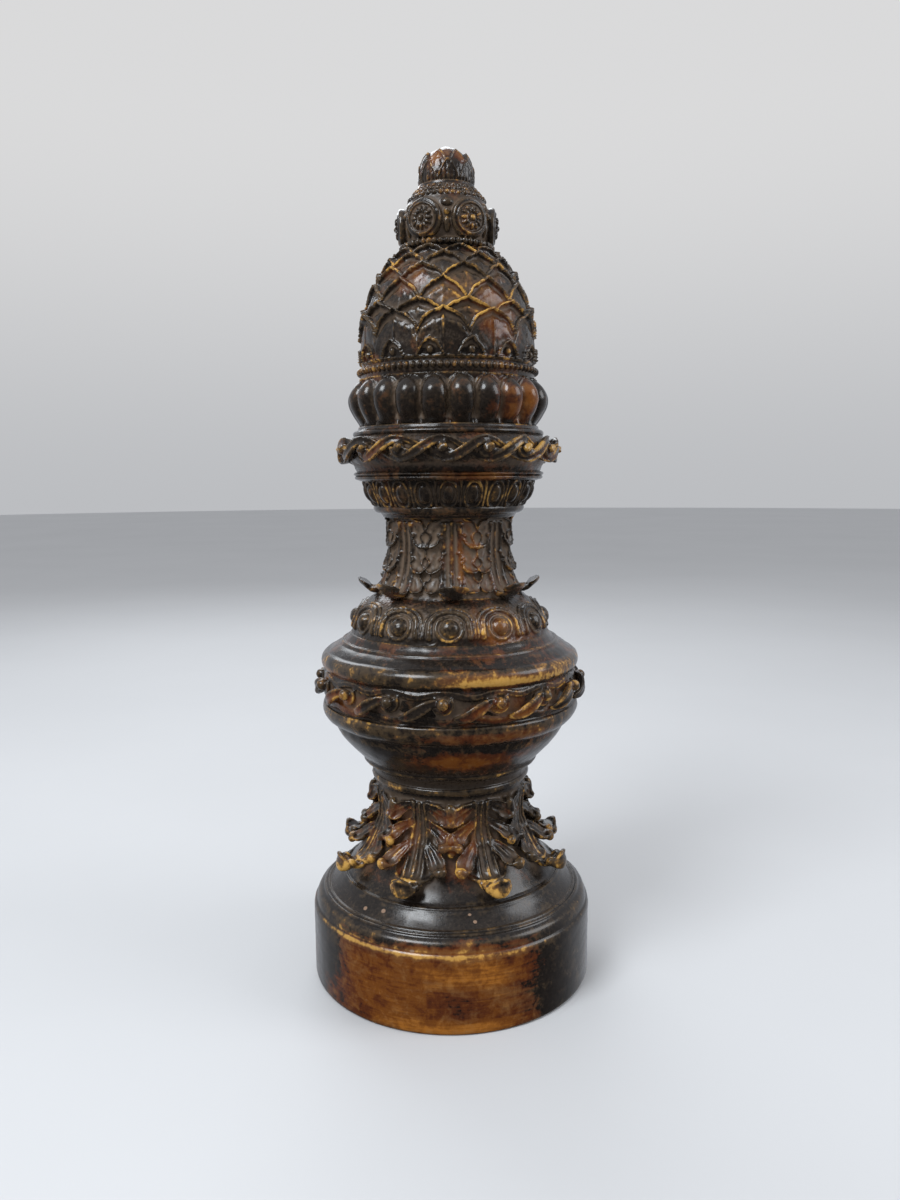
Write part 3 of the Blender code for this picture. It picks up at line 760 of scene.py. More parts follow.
lower_leaf = [
    lobe((0.0, 0.6, 44.0), 0.0, 0.0, 36.0, 10.5, curl=50.0, curl_from=0.78, flutes=5,
         flute_depth=0.3, rim=0.6, root_width=0.9, root_depth=1.0, ruffle=0.10),
    lobe((0.0, 1.6, 44.0), 0.0, 0.0, 47.0, 5.4, curl=150.0, curl_from=0.66, flutes=3, thick=2.6,
         flute_depth=0.8, rim=0.8, root_width=0.60),
    boss((0.0, 7.6, 5.3), 5.2, 3.5, 3.1, 16),
    boss((-3.7, 6.6, 7.2), 2.0, 2.2, 2.2),
    boss((3.7, 6.6, 7.2), 2.0, 2.2, 2.2),
    boss((12.6, 2.4, 39.0), 2.7, 2.8, 5.6),
    boss((14.1, 3.0, 25.0), 2.3, 2.8, 4.6),
]
for side_lobe in (
    lobe((2.4, 1.2, 43.0), 84.0, -58.0, 13.5, 3.3, lift=20.0, curl=80.0, curl_from=0.55, flutes=2, thick=2.0),
    lobe((2.6, 1.2, 35.5), 62.0, -40.0, 17.0, 3.3, lift=24.0, curl=60.0, curl_from=0.62, flutes=2, thick=2.0),
    lobe((2.8, 1.2, 26.5), 44.0, -24.0, 17.0, 3.4, lift=22.0, curl=75.0, curl_from=0.60, flutes=2, thick=2.0),
    boss((11.6, 6.0, 13.6), 2.5, 2.4, 2.6),
    boss((10.6, 5.6, 24.2), 1.9, 1.9, 2.2),
):
    lower_leaf += [side_lobe, mirrored(side_lobe)]
leaf_glaze = glazed(
    "glaze on the lower leaves", red=0.85, amber=-0.02, gold=0.75, dust=0.5, patches=(
        ("Gold patch", -36.0, 72.0, 10.0, 12.0, 1.6), ("Gold patch", 2.0, 66.0, 9.0, 14.0, 1.6),
        ("Patch", -36.0, 70.0, 12.0, 14.0, 1.8), ("Patch", 4.0, 68.0, 14.0, 18.0, 1.8),
        ("Gold patch", -24.0, 54.0, 6.0, 4.0, 1.6, 1.7), ("Gold patch", 22.0, 54.0, 7.0, 4.0, 1.6, 1.7),
        ("Gold patch", -68.0, 52.0, 10.0, 5.0, 0.7, 2.0), ("Gold patch", 66.0, 53.0, 12.0, 5.0, 0.7),
        # The two dark rings all round on the next line are painted shade: one at the leaves' foot where they
        # meet the drum, one in the recess at the top of the neck.
        ("Dark patch and painted shade", 0.0, 45.5, 400.0, 3.2, 0.3), ("Dark patch and painted shade", 0.0, 86.5, 400.0, 4.0, 0.3),
    ),
)
leaf_ring = ring_of(bend(joined(lower_leaf), neck_profile), LEAVES, LOWER_LEAF_TURN, leaf_glaze, 0.8, 5)
neck_core = turned_solid(neck_profile, 160)
lower_leaves = add_piece(
    "lower_leaves", fused([neck_core, leaf_ring], LEAF_VOXEL), leaf_glaze, 0.10, 7, limit=135000)
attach(lower_leaves, "root")
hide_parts("finial")


# Bulb: turned work between the two leafed necks. Two thin rings with a glossy hollow between them, a round
# bowl, a torus, the ground of the ribbon, a fat lip and a stepped hollow that draws in to the eggs.
bulb_profile = curve_through([
    (20.0, 87.0), (33.2, 87.0), (33.2, 87.0), (34.0, 87.6), (34.4, 88.8), (34.0, 89.9), (33.4, 90.2),
    (33.4, 90.2), (33.6, 92.0), (34.6, 93.6), (36.1, 94.8), (36.1, 94.8), (37.3, 95.2), (38.0, 96.1),
    (37.8, 97.2), (37.8, 97.2), (41.0, 100.4), (45.4, 105.0), (48.8, 109.6), (49.8, 113.0), (49.8, 113.0),
    (50.6, 113.2), (52.8, 114.6), (54.6, 117.0), (55.1, 119.4), (54.6, 121.4), (54.6, 121.4), (53.9, 121.7),
    (53.4, 122.6), (53.6, 129.0), (53.2, 135.2), (53.2, 135.2), (53.8, 136.2), (55.0, 137.6), (55.4, 139.6),
    (54.9, 141.6), (53.4, 143.1), (52.2, 143.5), (52.2, 143.5), (50.4, 144.9), (48.6, 146.1), (47.0, 146.9),
    (47.0, 146.9), (46.7, 147.7), (46.0, 148.1), (45.3, 147.8), (45.3, 147.8), (44.2, 148.8), (43.2, 150.2),
    (42.4, 151.0), (42.4, 151.0), (30.0, 151.6), (4.0, 151.6),
])
bulb_glaze = glazed(
    "glaze on the bulb", red=0.8, gold=0.6, dust=0.22, patches=(
        ("Patch", 16.0, 116.6, 28.0, 2.6, 0.9), ("Patch", 8.0, 105.5, 28.0, 4.6, 1.0),
        ("Gold patch", 26.0, 138.6, 26.0, 1.8, 0.6, 1.8), ("Patch", 22.0, 139.4, 28.0, 2.6, 0.8),
        ("Patch", -62.0, 137.5, 24.0, 3.0, 0.9), ("Patch", 150.0, 112.0, 44.0, 12.0, 0.8),
        # The dark ring all round at 92 mm on the next line is painted shade in the glossy hollow between the
        # two thin rings.
        ("Dark patch and painted shade", 0.0, 92.4, 400.0, 4.0, 0.1), ("Patch", -150.0, 140.0, 30.0, 5.0, 0.8),
        ("Dark patch and painted shade", -40.0, 141.0, 26.0, 3.0, 0.6), ("Dark patch and painted shade", -52.0, 116.0, 24.0, 12.0, 0.8),
    ),
)
bulb = add_piece("bulb", turned_solid(bulb_profile), bulb_glaze, unevenness=0.16, seed=11)
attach(bulb, "root")
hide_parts("finial")


# Lower ribbon: a flat twisted ribbon in low relief round the fullest part of the bulb. One edge rises
# from lower left to upper right in front, and a round bead sits in each eye.
RIBBON_UNITS = 16
RIBBON_TURN = -2.5
RIBBON_RADIUS = 53.6
RIBBON_VOXEL = 0.48
lower_ribbon_ground = curve_through(
    [(53.0, 120.9), (53.5, 124.0), (53.7, 129.0), (53.4, 134.0), (52.8, 136.6)])


def strand(path, width, thick, dish=0.35, sides=7):
    """A ribbon strand along a flat path of (across, out, along), with raised edges and a hollow between.

    The width and thickness may change along the path.
    """
    path = np.asarray(path, float)
    ahead = np.gradient(path, axis=0)
    ahead /= np.linalg.norm(ahead, axis=1)[:, None]
    side = np.cross(ahead, np.array([0.0, 1.0, 0.0]))
    side /= np.linalg.norm(side, axis=1)[:, None]
    up = np.cross(side, ahead)
    v = np.linspace(-1.0, 1.0, sides)
    wide = (width * np.ones(len(path)))[:, None] * v[None]
    deep = (thick * np.ones(len(path)))[:, None]
    over = deep * (dish * (np.abs(v[None]) ** 2 - 0.4) + 0.45 * np.sqrt(held(1.0 - v[None] ** 6)))
    under = -deep * np.sqrt(held(1.0 - v[None] ** 2)) - 0.05
    return swept(path, side, up, wide, over, under)


def eased(t):
    """From 0 to 1 with level ends."""
    return 0.5 - 0.5 * np.cos(math.pi * t)


t = np.linspace(0.0, 1.0, 40)
pitch = math.tau * RIBBON_RADIUS / RIBBON_UNITS
rising = strand(
    np.stack([pitch * (0.18 + 0.80 * t), 1.4 + 2.6 * np.sin(math.pi * t), 4.4 + 6.6 * eased(t)], 1),
    0.5 + 1.7 * np.sin(math.pi * t) ** 0.7, 1.0 + 1.5 * np.sin(math.pi * t), dish=0.5,
)
over_wave = strand(
    np.stack([pitch * (t - 0.5), 0.5 + 0.0 * t, 13.0 + 0.8 * np.cos(math.tau * t - math.pi)], 1),
    1.1, 0.9, dish=0.8,
)
under_wave = strand(
    np.stack([pitch * (t - 0.5), 0.3 + 0.0 * t, 3.1 - 0.8 * np.cos(math.tau * t - math.pi)], 1),
    1.3, 0.9, dish=0.8,
)
cradle_turn = math.pi * (1.05 + 1.15 * t)
cradle = strand(
    np.stack([3.4 * np.cos(cradle_turn), 1.2 + 0.4 * t, 9.9 + 3.3 * np.sin(cradle_turn)], 1), 0.9, 1.0)
lower_unit = [rising, over_wave, under_wave, cradle, boss((0.0, 2.7, 10.1), 2.2, 2.6, 2.2)]
ribbon_glaze = glazed(
    "glaze on the lower ribbon", red=0.8, gold=0.6, dust=0.6, patches=(
        ("Gold patch", 40.0, 129.0, 30.0, 6.0, 1.4), ("Patch", 24.0, 127.0, 20.0, 5.0, 1.4),
        ("Patch", -50.0, 127.0, 14.0, 5.0, 1.2), ("Gold patch", -40.0, 131.0, 20.0, 2.5, 1.2),
    ),
)
ribbon_ring = ring_of(
    bend(joined(lower_unit), lower_ribbon_ground), RIBBON_UNITS, RIBBON_TURN, ribbon_glaze, 0.5, 15)
ribbon_core = turned_solid(lower_ribbon_ground, 240)
lower_ribbon = add_piece(
    "lower_ribbon", fused([ribbon_core, ribbon_ring], RIBBON_VOXEL), ribbon_glaze, 0.10, 17, limit=75000)
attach(lower_ribbon, "root")
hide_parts("finial")


# Egg dome: twelve eggs under double arched surrounds, carved on a low dome between the bulb and the
# second neck. Dusty, with gold left on the eggs that hands reach.
EGGS = 12
egg_profile = curve_through([
    (42.4, 150.2), (41.9, 152.6), (40.9, 156.0), (39.2, 159.6), (36.6, 163.0), (33.4, 165.8), (30.2, 167.8),
], 0.45)


def ridge(distance, width):
    """A rounded ridge: 1 on its line, 0 from its width on."""
    return held(1.0 - (distance / width) ** 2) ** 0.75


def dome_over(distance):
    """A round top: 1 in the middle, 0 from a distance of 1 on."""
    return np.sqrt(held(1.0 - distance**2))


def faded_ends(along, low, high):
    """1 over a band's middle, falling to 0 over a short way at its foot and at its top."""
    return held(along / low) * held((along[-1, 0] - along) / high)


def carved_ring(profile, copies, columns, relief, turn, material):
    """A carved ring made of equal sectors, welded where they meet and closed to the axis above and below.

    The relief is given for points (across, along the profile) in millimetres, and the sector's pitch.
    """
    along = lengths_along(profile)
    slope = np.gradient(profile, along, axis=0)
    slope /= np.linalg.norm(slope, axis=1)[:, None]
    share = np.linspace(-0.5, 0.5, columns + 1)
    pitch = math.tau * profile[:, 0] / copies
    rise = relief(share[None] * pitch[:, None], along[:, None] + 0.0 * share[None], pitch[:, None])
    reach = profile[:, :1] + rise * slope[:, 1:]
    height = profile[:, 1:] - rise * slope[:, :1]
    angle = math.tau * share / copies
    grid = np.stack([reach * np.sin(angle), -reach * np.cos(angle), height], -1)
    rows, across, _ = grid.shape
    sector = skin(grid, np.array([[0.0, 0.0, profile[0, 1]], [0.0, 0.0, profile[-1, 1]]]), closed=False)
    points, faces = ring_of(sector, copies, turn, material)
    kept = np.arange(len(points)).reshape(copies, rows * across + 2)
    right_side = across * np.arange(rows) + columns
    kept[:, right_side] = np.roll(kept[:, right_side - columns], -1, axis=0)
    kept[:, -2:] = kept[0, -2:]
    used, faces = np.unique(kept.ravel()[faces], return_inverse=True)
    return points[used], faces.reshape(-1, 3)


def egg_relief(across, along, pitch):
    """A ball of an egg in a round ring, under two soft hoods that open downwards, on rough ground."""
    low = 7.6
    across = 0.88 * across
    egg = np.hypot(across / 3.5, (along - low) / 3.9)
    ring = ridge(np.hypot(across, 0.95 * (along - low)) - 4.7, 0.9)
    hood = np.hypot(across, np.maximum(along - low, 0.0))
    spread = 1.0 + 0.10 * held((low - along) / low)
    hoods = np.maximum(1.8 * ridge(hood / spread - 6.9, 1.2), 1.2 * ridge(hood / spread - 8.7, 0.85))
    hoods = hoods * held((along - 2.4) / 1.2)
    ends = faded_ends(along, 1.6, 1.2)
    carved = np.maximum(np.maximum(3.0 * dome_over(egg) ** 1.2, ring), hoods)
    return (np.maximum(carved, 0.35) - 0.5) * ends


dome_glaze = glazed(
    "glaze on the egg dome", red=0.5, amber=0.02, gold=0.75, dust=0.95, patches=(
        ("Gold patch", 36.0, 156.0, 12.0, 7.0, 0.7), ("Patch", 32.0, 156.0, 20.0, 8.0, 0.9),
        ("Dark patch and painted shade", -30.0, 156.0, 30.0, 8.0, 0.8),
    ),
)
egg_ring = carved_ring(egg_profile, EGGS, 44, egg_relief, 0.0, dome_glaze)
egg_dome = add_piece("egg_dome", egg_ring, dome_glaze, 0.16, 19, roughness=0.10)
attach(egg_dome, "root")
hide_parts("finial")


# Upper neck: eight flatter leaves on a slim waist, with wide fluted midribs, wavy side lobes and thin
# scooped tips that turn out and up. The dustiest part of the casting.
UPPER_LEAF_TURN = 2.0
FINE_VOXEL = 0.42
upper_neck_profile = curve_through([
    (31.6, 166.0), (29.6, 168.5), (28.4, 171.2), (27.4, 173.6), (25.4, 180.5), (24.7, 190.5), (25.6, 197.2),
    (26.6, 201.4),
])
upper_leaf = [
    lobe((0.0, 1.2, 34.0), 0.0, 0.0, 37.5, 5.2, curl=104.0, curl_from=0.70, flutes=3, thick=3.1,
         flute_depth=0.5, rim=1.1, root_width=0.80, root_depth=0.6, ruffle=0.0),
    boss((0.0, 7.8, 2.0), 5.6, 3.4, 2.3),
]
for side_lobe in (
    lobe((2.6, 0.7, 34.0), 78.0, -104.0, 13.5, 3.7, lift=14.0, curl=44.0, curl_from=0.7, flutes=2, thick=1.5,
         rim=1.3, flute_depth=0.25, root_width=0.7, ruffle=0.16),
    lobe((2.8, 0.7, 24.0), 74.0, -112.0, 14.0, 3.8, lift=14.0, curl=50.0, curl_from=0.7, flutes=2, thick=1.5,
         rim=1.3, flute_depth=0.25, root_width=0.7, ruffle=0.16),
    lobe((3.0, 0.5, 13.0), 66.0, -70.0, 11.5, 3.0, lift=10.0, curl=60.0, curl_from=0.7, flutes=2, thick=1.3,
         rim=1.0, flute_depth=0.25, root_width=0.7, ruffle=0.14),
):
    upper_leaf += [side_lobe, mirrored(side_lobe)]
upper_leaf_glaze = glazed(
    "glaze on the upper leaves", red=0.8, gold=0.38, dust=0.95, patches=(
        ("Gold patch", 8.0, 196.0, 14.0, 5.0, 0.9), ("Gold patch", -50.0, 172.0, 8.0, 5.0, 0.6),
        ("Patch", 14.0, 186.0, 12.0, 12.0, 1.8),
    ),
)
upper_ring = ring_of(
    bend(joined(upper_leaf), upper_neck_profile), LEAVES, UPPER_LEAF_TURN, upper_leaf_glaze, 0.8, 21)
upper_core = turned_solid(upper_neck_profile, 160)
upper_leaves = add_piece(
    "upper_leaves", fused([upper_core, upper_ring], FINE_VOXEL, 2), upper_leaf_glaze, 0.10, 23, 0.06,
    limit=100000)
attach(upper_leaves, "root")
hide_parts("finial")


# Head mouldings: three turned rings of the casting, an astragal over the neck and the two double-lined
# fillets that edge the upper ribbon.
astragal = [(20.0, 199.8), (28.0, 199.8), (28.0, 199.8)] + half_round(29.0, 203.6, 3.0, 4.5) + [(28.6, 206.2)]
lower_fillet = [(24.0, 214.8), (37.4, 214.9), (37.4, 214.9)] + half_round(38.0, 216.2, 1.6, 1.9, 7)
lower_fillet += half_round(38.4, 217.7, 1.6, 1.5, 7) + [(38.0, 218.8), (38.0, 218.8), (20.0, 219.2)]
upper_fillet = [(24.0, 232.0), (37.8, 232.2), (37.8, 232.2)] + half_round(38.0, 234.1, 2.0, 2.9, 9)
upper_fillet += [(37.6, 237.0), (37.6, 237.0), (24.0, 237.4)]
head_shapes = [turned_solid(curve_through(line, 0.8)) for line in (astragal, lower_fillet, upper_fillet)]
head_glaze = glazed(
    "glaze on the head mouldings", red=0.6, gold=0.6, dust=0.4, patches=(
        ("Patch", 22.0, 216.8, 20.0, 2.4, 0.8), ("Gold patch", 24.0, 216.8, 16.0, 2.0, 0.6),
    ),
)
head_mouldings = add_piece("head_mouldings", joined(head_shapes), head_glaze, 0.12, 25)
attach(head_mouldings, "root")
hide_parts("finial")


# Small eggs: a flaring band of twenty-two small eggs, each in a raised surround, under the upper ribbon.
# They are low carving in the same casting, dark and a little dusty between the eggs.
SMALL_EGGS = 22
small_egg_profile = curve_through(
    [(31.4, 204.2), (32.6, 206.4), (34.2, 209.6), (35.4, 212.6), (36.3, 215.6)], 0.4)


def small_egg_relief(across, along, pitch):
    """A small egg, its surround, and half a dart on each side."""
    egg = np.hypot(across / 2.3, (along - 6.2) / 4.1)
    around_egg = np.hypot(across / 2.3, (along - 6.0) / 3.9)
    surround = 1.1 * ridge(around_egg - 1.52, 0.26)
    dart = 0.9 * ridge(0.5 * pitch - np.abs(across), 0.8)
    ends = faded_ends(along, 1.0, 1.0)
    return (np.maximum(np.maximum(1.9 * dome_over(egg), surround), dart) - 0.3) * ends


small_egg_glaze = glazed(
    "glaze on the small eggs", red=0.4, amber=-0.05, gold=0.4, dust=0.5,
    patches=(("Gold patch", 34.0, 210.0, 26.0, 6.0, 0.8),),
)
small_egg_ring = carved_ring(small_egg_profile, SMALL_EGGS, 24, small_egg_relief, 0.0, small_egg_glaze)
small_eggs = add_piece("small_eggs", small_egg_ring, small_egg_glaze, 0.12, 27)
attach(small_eggs, "root")
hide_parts("finial")


# Upper ribbon: two strands that twist round sixteen beads and stand far out from a stippled ground. The
# strand that rises to the right passes in front, and each curls close under the next bead.
upper_ribbon_ground = curve_through([
    (38.2, 217.6), (39.0, 219.4), (39.8, 221.4), (41.6, 223.2), (43.0, 226.0), (42.8, 229.4), (41.0, 232.0),
    (39.2, 233.2), (38.2, 234.6),
])
STRAND_GROUND = np.array([[42.6, 216.0], [42.6, 238.0]])
STRAND_MIDDLE = 11.2
STRAND_SWING = 3.9
CURL_RADIUS = 3.3
pitch = math.tau * STRAND_GROUND[0, 0] / RIBBON_UNITS
swing = STRAND_SWING * (2.0 * eased(t) - 1.0)
front = strand(
    np.stack([pitch * t, 1.9 + 1.6 * np.sin(math.pi * t), STRAND_MIDDLE + swing], 1),
    1.35 + 0.65 * np.sin(math.pi * t), 1.9, dish=0.5, sides=11,
)
back = strand(
    np.stack([pitch * t, 1.7 - 1.7 * np.sin(math.pi * t), STRAND_MIDDLE - swing], 1),
    1.1, 1.5, dish=0.5, sides=11,
)
curl = strand(
    np.stack([
        CURL_RADIUS * np.cos(math.pi * (1.0 + 0.95 * t)), 2.2 + 0.6 * t,
        STRAND_MIDDLE + 0.6 + CURL_RADIUS * np.sin(math.pi * (1.0 + 0.95 * t)),
    ], 1),
    0.75, 1.2, dish=0.4, sides=7,
)
upper_unit = [
    front, back, curl, boss((0.0, 2.2, STRAND_MIDDLE + 0.3), 2.1, 2.8, 2.1),
    boss((0.8, 4.3, STRAND_MIDDLE + 1.0), 0.9, 0.9, 0.9),
    boss((-0.8, 4.3, STRAND_MIDDLE - 0.5), 0.8, 0.8, 0.8),
]
upper_ribbon_glaze = glazed(
    "glaze on the upper ribbon", red=0.7, gold=0.5, dust=0.85,
    patches=(("Gold patch", 42.0, 226.0, 22.0, 6.0, 1.4), ("Gold patch", 0.0, 228.5, 400.0, 1.6, 1.2)),
)
upper_ribbon_ring = ring_of(
    bend(joined(upper_unit), STRAND_GROUND), RIBBON_UNITS, RIBBON_TURN, upper_ribbon_glaze, 0.7, 31)
upper_ribbon_core = turned_solid(upper_ribbon_ground, 200)
upper_ribbon = add_piece(
    "upper_ribbon", fused([upper_ribbon_core, upper_ribbon_ring], FINE_VOXEL, 2), upper_ribbon_glaze,
    0.10, 33, 0.08, limit=85000)
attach(upper_ribbon, "root")
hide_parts("finial")


# Gadroons: twenty-two fat upright lobes round the foot of the head, fullest near the top and pointed
# below. Glossy black, with amber rubbed through on the right of the front.
GADROONS = 22
gadroon_profile = curve_through([(36.4, 236.0), (36.2, 241.0), (36.2, 250.0), (36.4, 256.2)], 0.5)


def gadroon_relief(across, along, pitch):
    """One fat lobe with a narrow deep groove on each side and a small wedge between the feet."""
    p = held((along - 0.6) / 19.0)
    bulge = 6.0 * np.sin(math.pi * p**1.3) ** 0.66
    narrowed = 0.38 * held(1.0 - p / 0.42) ** 1.5
    rounded = np.sqrt(1.0 - 0.97 * held((p - 0.52) / 0.46) ** 2)
    width = 0.5 * pitch * (1.03 - narrowed) * rounded
    lobe_height = bulge * np.sqrt(held(1.0 - (across / width) ** 2))
    wedge = 1.3 * ridge(0.5 * pitch - np.abs(across), 1.4) * held(1.0 - along / 6.0)
    hood = 1.1 * ridge(np.abs(across) - width - 0.5, 0.7) * held((p - 0.45) / 0.2)
    return np.maximum(np.maximum(lobe_height, wedge), hood) - 0.2


gadroon_glaze = glazed(
    "glaze on the gadroons", red=0.6, amber=-0.04, gold=0.4, dust=0.75, patches=(
        ("Patch", 33.0, 249.0, 7.0, 4.0, 1.2), ("Patch", 52.0, 248.0, 11.0, 6.0, 1.4),
        ("Patch", 40.0, 242.0, 24.0, 4.0, 1.6), ("Gold patch", 33.0, 249.0, 5.0, 3.0, 0.6),
        ("Patch", -160.0, 246.0, 26.0, 8.0, 1.2),
    ), gloss=0.10,
)
gadroon_ring = carved_ring(gadroon_profile, GADROONS, 24, gadroon_relief, 180.0 / GADROONS, gadroon_glaze)
gadroons = add_piece("gadroons", gadroon_ring, gadroon_glaze, 0.16, 35)
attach(gadroons, "root")
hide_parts("finial")


# Ring of beads: eighty-four small round beads between the gadroons and the cone, on a round cord. They are
# cast with the head, and the glaze has worn thin on their tops.
BEADS = 84
bead_profile = curve_through(
    [(34.6, 254.6), (36.0, 256.4), (36.5, 258.6), (36.0, 260.8), (34.4, 262.6)], 0.42)


def bead_relief(across, along, pitch):
    """A round bead."""
    bead = 1.7 * dome_over(np.hypot(across / 1.15, (along - 5.0) / 1.3)) ** 0.9
    return bead + 0.4 * ridge(along - 1.6, 1.0) - 0.2


bead_glaze = glazed("glaze on the bead ring", red=0.6, amber=0.02, gold=0.5, dust=0.5)
bead_band = carved_ring(bead_profile, BEADS, 8, bead_relief, 0.0, bead_glaze)
bead_ring = add_piece("bead_ring", bead_band, bead_glaze, 0.10, 37)
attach(bead_ring, "root")
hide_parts("finial")


# Cone: pointed scales in staggered rows over a row of small arches, each scale a hollow face with a thin
# raised rim and a vein. The rows have different counts, so the whole carved skin is worked out at once.
CONE_FOOT = 261.94
CONE_HEIGHT = 45.1
CONE_RADIUS = 35.0
CONE_TOP_RADIUS = 17.6
SCALES = 11
SCALE_TURN = -2.5
ARCHES = 14
ARCH_TURN = 15.0
ARCH_HALF = 0.30
ARCH_TOP = 0.165
ARCH_FALL = 0.115
CRUMPLE_MEAN = 0.35
SCALE_ROWS = ((0.42, 0.225), (0.50, 0.38), (0.69, 0.50), (0.815, 0.695), (0.92, 0.815), (1.0, 0.92))
CONE_COLUMNS = 456
CONE_ROWS = 120


def laid_over(ground, layer, part):
    """One relief laid over another, by a part from 0 to 1."""
    return ground * (1.0 - part) + layer * part


def share_of_unit(azimuth, units, turn):
    """Where an azimuth lies in its unit of a pattern: 0 at the unit's middle, -0.5 to 0.5 across."""
    unit = (azimuth - turn) * units / 360.0
    return unit - np.floor(unit + 0.5)


def ogee(x, steep):
    """Fall of a scale's edge over half its width: a small point, rounded shoulders and a steep end."""
    return 0.07 * (1.0 - np.exp(-x / 0.07)) + (0.93 - steep) * x**1.15 + steep * x**5


def plate(depth, size, upright):
    """Relief of one scale: it leans out to its tip, with a thin rim and a hollow face behind the rim."""
    lean = (1.7 + 0.6 * upright) * np.exp(-depth / (0.80 * size))
    rim = (0.8 + 0.7 * upright) * ridge(depth - 0.42, 0.62)
    hollow = 0.95 * np.exp(-(((depth - 2.1) / (0.9 + 0.10 * size)) ** 2))
    return 0.45 + lean + rim - hollow


azimuth = 360.0 * np.arange(CONE_COLUMNS)[None] / CONE_COLUMNS
part = np.linspace(-0.015, 1.01, CONE_ROWS)[:, None]
drawn_in = 1.0 - (CONE_TOP_RADIUS / CONE_RADIUS) ** 2
cone_ground = CONE_RADIUS * np.sqrt(1.0 - drawn_in * part * np.abs(part))
turns = np.radians(azimuth)
ground_points = np.stack([
    cone_ground * np.sin(turns), -cone_ground * np.cos(turns), CONE_FOOT + part * CONE_HEIGHT + 0.0 * turns,
], -1).reshape(-1, 3)
crumpled = np.abs(lumps(ground_points, 6.0, 0.36, 61)) + np.abs(lumps(ground_points, 2.8, 0.14, 62))
crumpled = crumpled.reshape(CONE_ROWS, CONE_COLUMNS)
relief = 0.3 + 0.0 * azimuth * part
for row, (tip, valley) in reversed(list(enumerate(SCALE_ROWS))):
    u = share_of_unit(azimuth, SCALES, SCALE_TURN + (row % 2) * 180.0 / SCALES)
    edge_line = tip - (tip - valley) * ogee(2.0 * np.abs(u), 0.56 if row == 0 else 0.34)
    depth = (edge_line - part) * CONE_HEIGHT + 1.1 * (crumpled - CRUMPLE_MEAN)
    across = u * math.tau * cone_ground / SCALES
    size = 1.1 * (tip - valley) * CONE_HEIGHT
    scale = plate(np.maximum(depth, 0.0), size, 1.0 - 2.0 * np.abs(u)) * (1.30 - 0.35 * part)
    within = held((depth - 1.0) / 0.8)
    vein = (0.40 if row == 0 else 0.12) * ridge(across, 0.7) * held((depth - 2.5) / 2.0)
    scale = scale + within * (0.40 * crumpled - 0.15) + vein
    inside = held(depth / 0.3 + 0.5)
    relief = laid_over(relief, scale, inside)
u = share_of_unit(azimuth, ARCHES, ARCH_TURN)
x = np.abs(u) / ARCH_HALF
arch_line = ARCH_TOP - ARCH_FALL * (0.40 * x + 0.60 * np.clip(x, 0.0, 1.5) ** 3)
depth = (arch_line - part) * CONE_HEIGHT + 1.5 * (crumpled - CRUMPLE_MEAN)
across = u * math.tau * cone_ground / ARCHES
flower = 1.5 * dome_over(np.hypot(across / 1.5, (part - 0.062) * CONE_HEIGHT / 1.7))
arch = np.maximum(0.45 + 2.3 * ridge(depth - 0.5, 0.75), 0.45 + 1.2 * flower)
inside = held(depth / 0.3 + 0.5) * (x < 1.45)
relief = laid_over(relief, arch, inside)
between = dome_over(np.hypot((0.5 - np.abs(u)) * 9.0, (part - 0.020) * CONE_HEIGHT / 1.6))
low_ground = 0.9 + 1.5 * crumpled + 0.8 * between
lowest = held((0.022 + 0.02 * (crumpled - CRUMPLE_MEAN) - part) / 0.012)
relief = laid_over(relief, low_ground, lowest)
ends = held((part + 0.015) / 0.03) * held((1.01 - part) / 0.03)
reach = cone_ground + relief * ends
cone_height = CONE_FOOT + part * CONE_HEIGHT + 0.30 * (relief - 1.0) * ends * held(part)
cone_rings = np.stack([reach * np.sin(turns), -reach * np.cos(turns), cone_height + 0.0 * turns], -1)
cone_glaze = glazed(
    "glaze on the cone", red=0.8, gold=0.85, dust=0.72, patches=(
        ("Patch", 34.0, 280.0, 16.0, 12.0, 1.6), ("Patch", -26.0, 292.0, 12.0, 6.0, 1.6),
        ("Patch", -150.0, 284.0, 24.0, 12.0, 1.2), ("Gold patch", 10.0, 286.0, 60.0, 18.0, 0.9),
    ),
)
cone = add_piece("cone", loft(cone_rings), cone_glaze, 0.12, 41)
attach(cone, "root")
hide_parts("finial")


# Crown: six roundels with a rosette in each stand round a short drum, with a gold stud and a small leaf
# between them, a ring of tiny beads below, and a sloping collar of granular bumps that carries the bud.
ROUNDELS = 6
ROUNDEL_TURN = 30.0
crown_profile = curve_through([
    (17.2, 306.4), (17.8, 307.4), (17.8, 307.4), (18.6, 308.6), (17.8, 309.9), (17.8, 309.9), (16.4, 310.4),
    (16.9, 312.6), (17.6, 317.6), (17.2, 322.4), (16.2, 325.6), (16.2, 325.6), (15.2, 327.4), (13.4, 329.6),
    (12.0, 331.6), (11.6, 333.4),
], 0.35)
crown_along = lengths_along(crown_profile)[-1]
ROUNDEL_MIDDLE = 12.6
CROWN_VOXEL = 0.33

# Rows of tiny bumps: place along the profile and out, three half sizes, count, turn, unevenness and seed
BUMP_ROWS = (
    (2.6, 0.3, (1.05, 1.0, 1.1), 48, 0.0, 0.6, 47),
    (crown_along - 7.2, 0.3, (0.95, 0.9, 0.9), 40, 0.0, 1.5, 49),
    (crown_along - 4.8, 0.3, (0.9, 0.9, 0.85), 36, 5.0, 1.5, 51),
    (crown_along - 2.6, 0.2, (0.8, 0.8, 0.8), 32, 0.0, 1.5, 53),
)


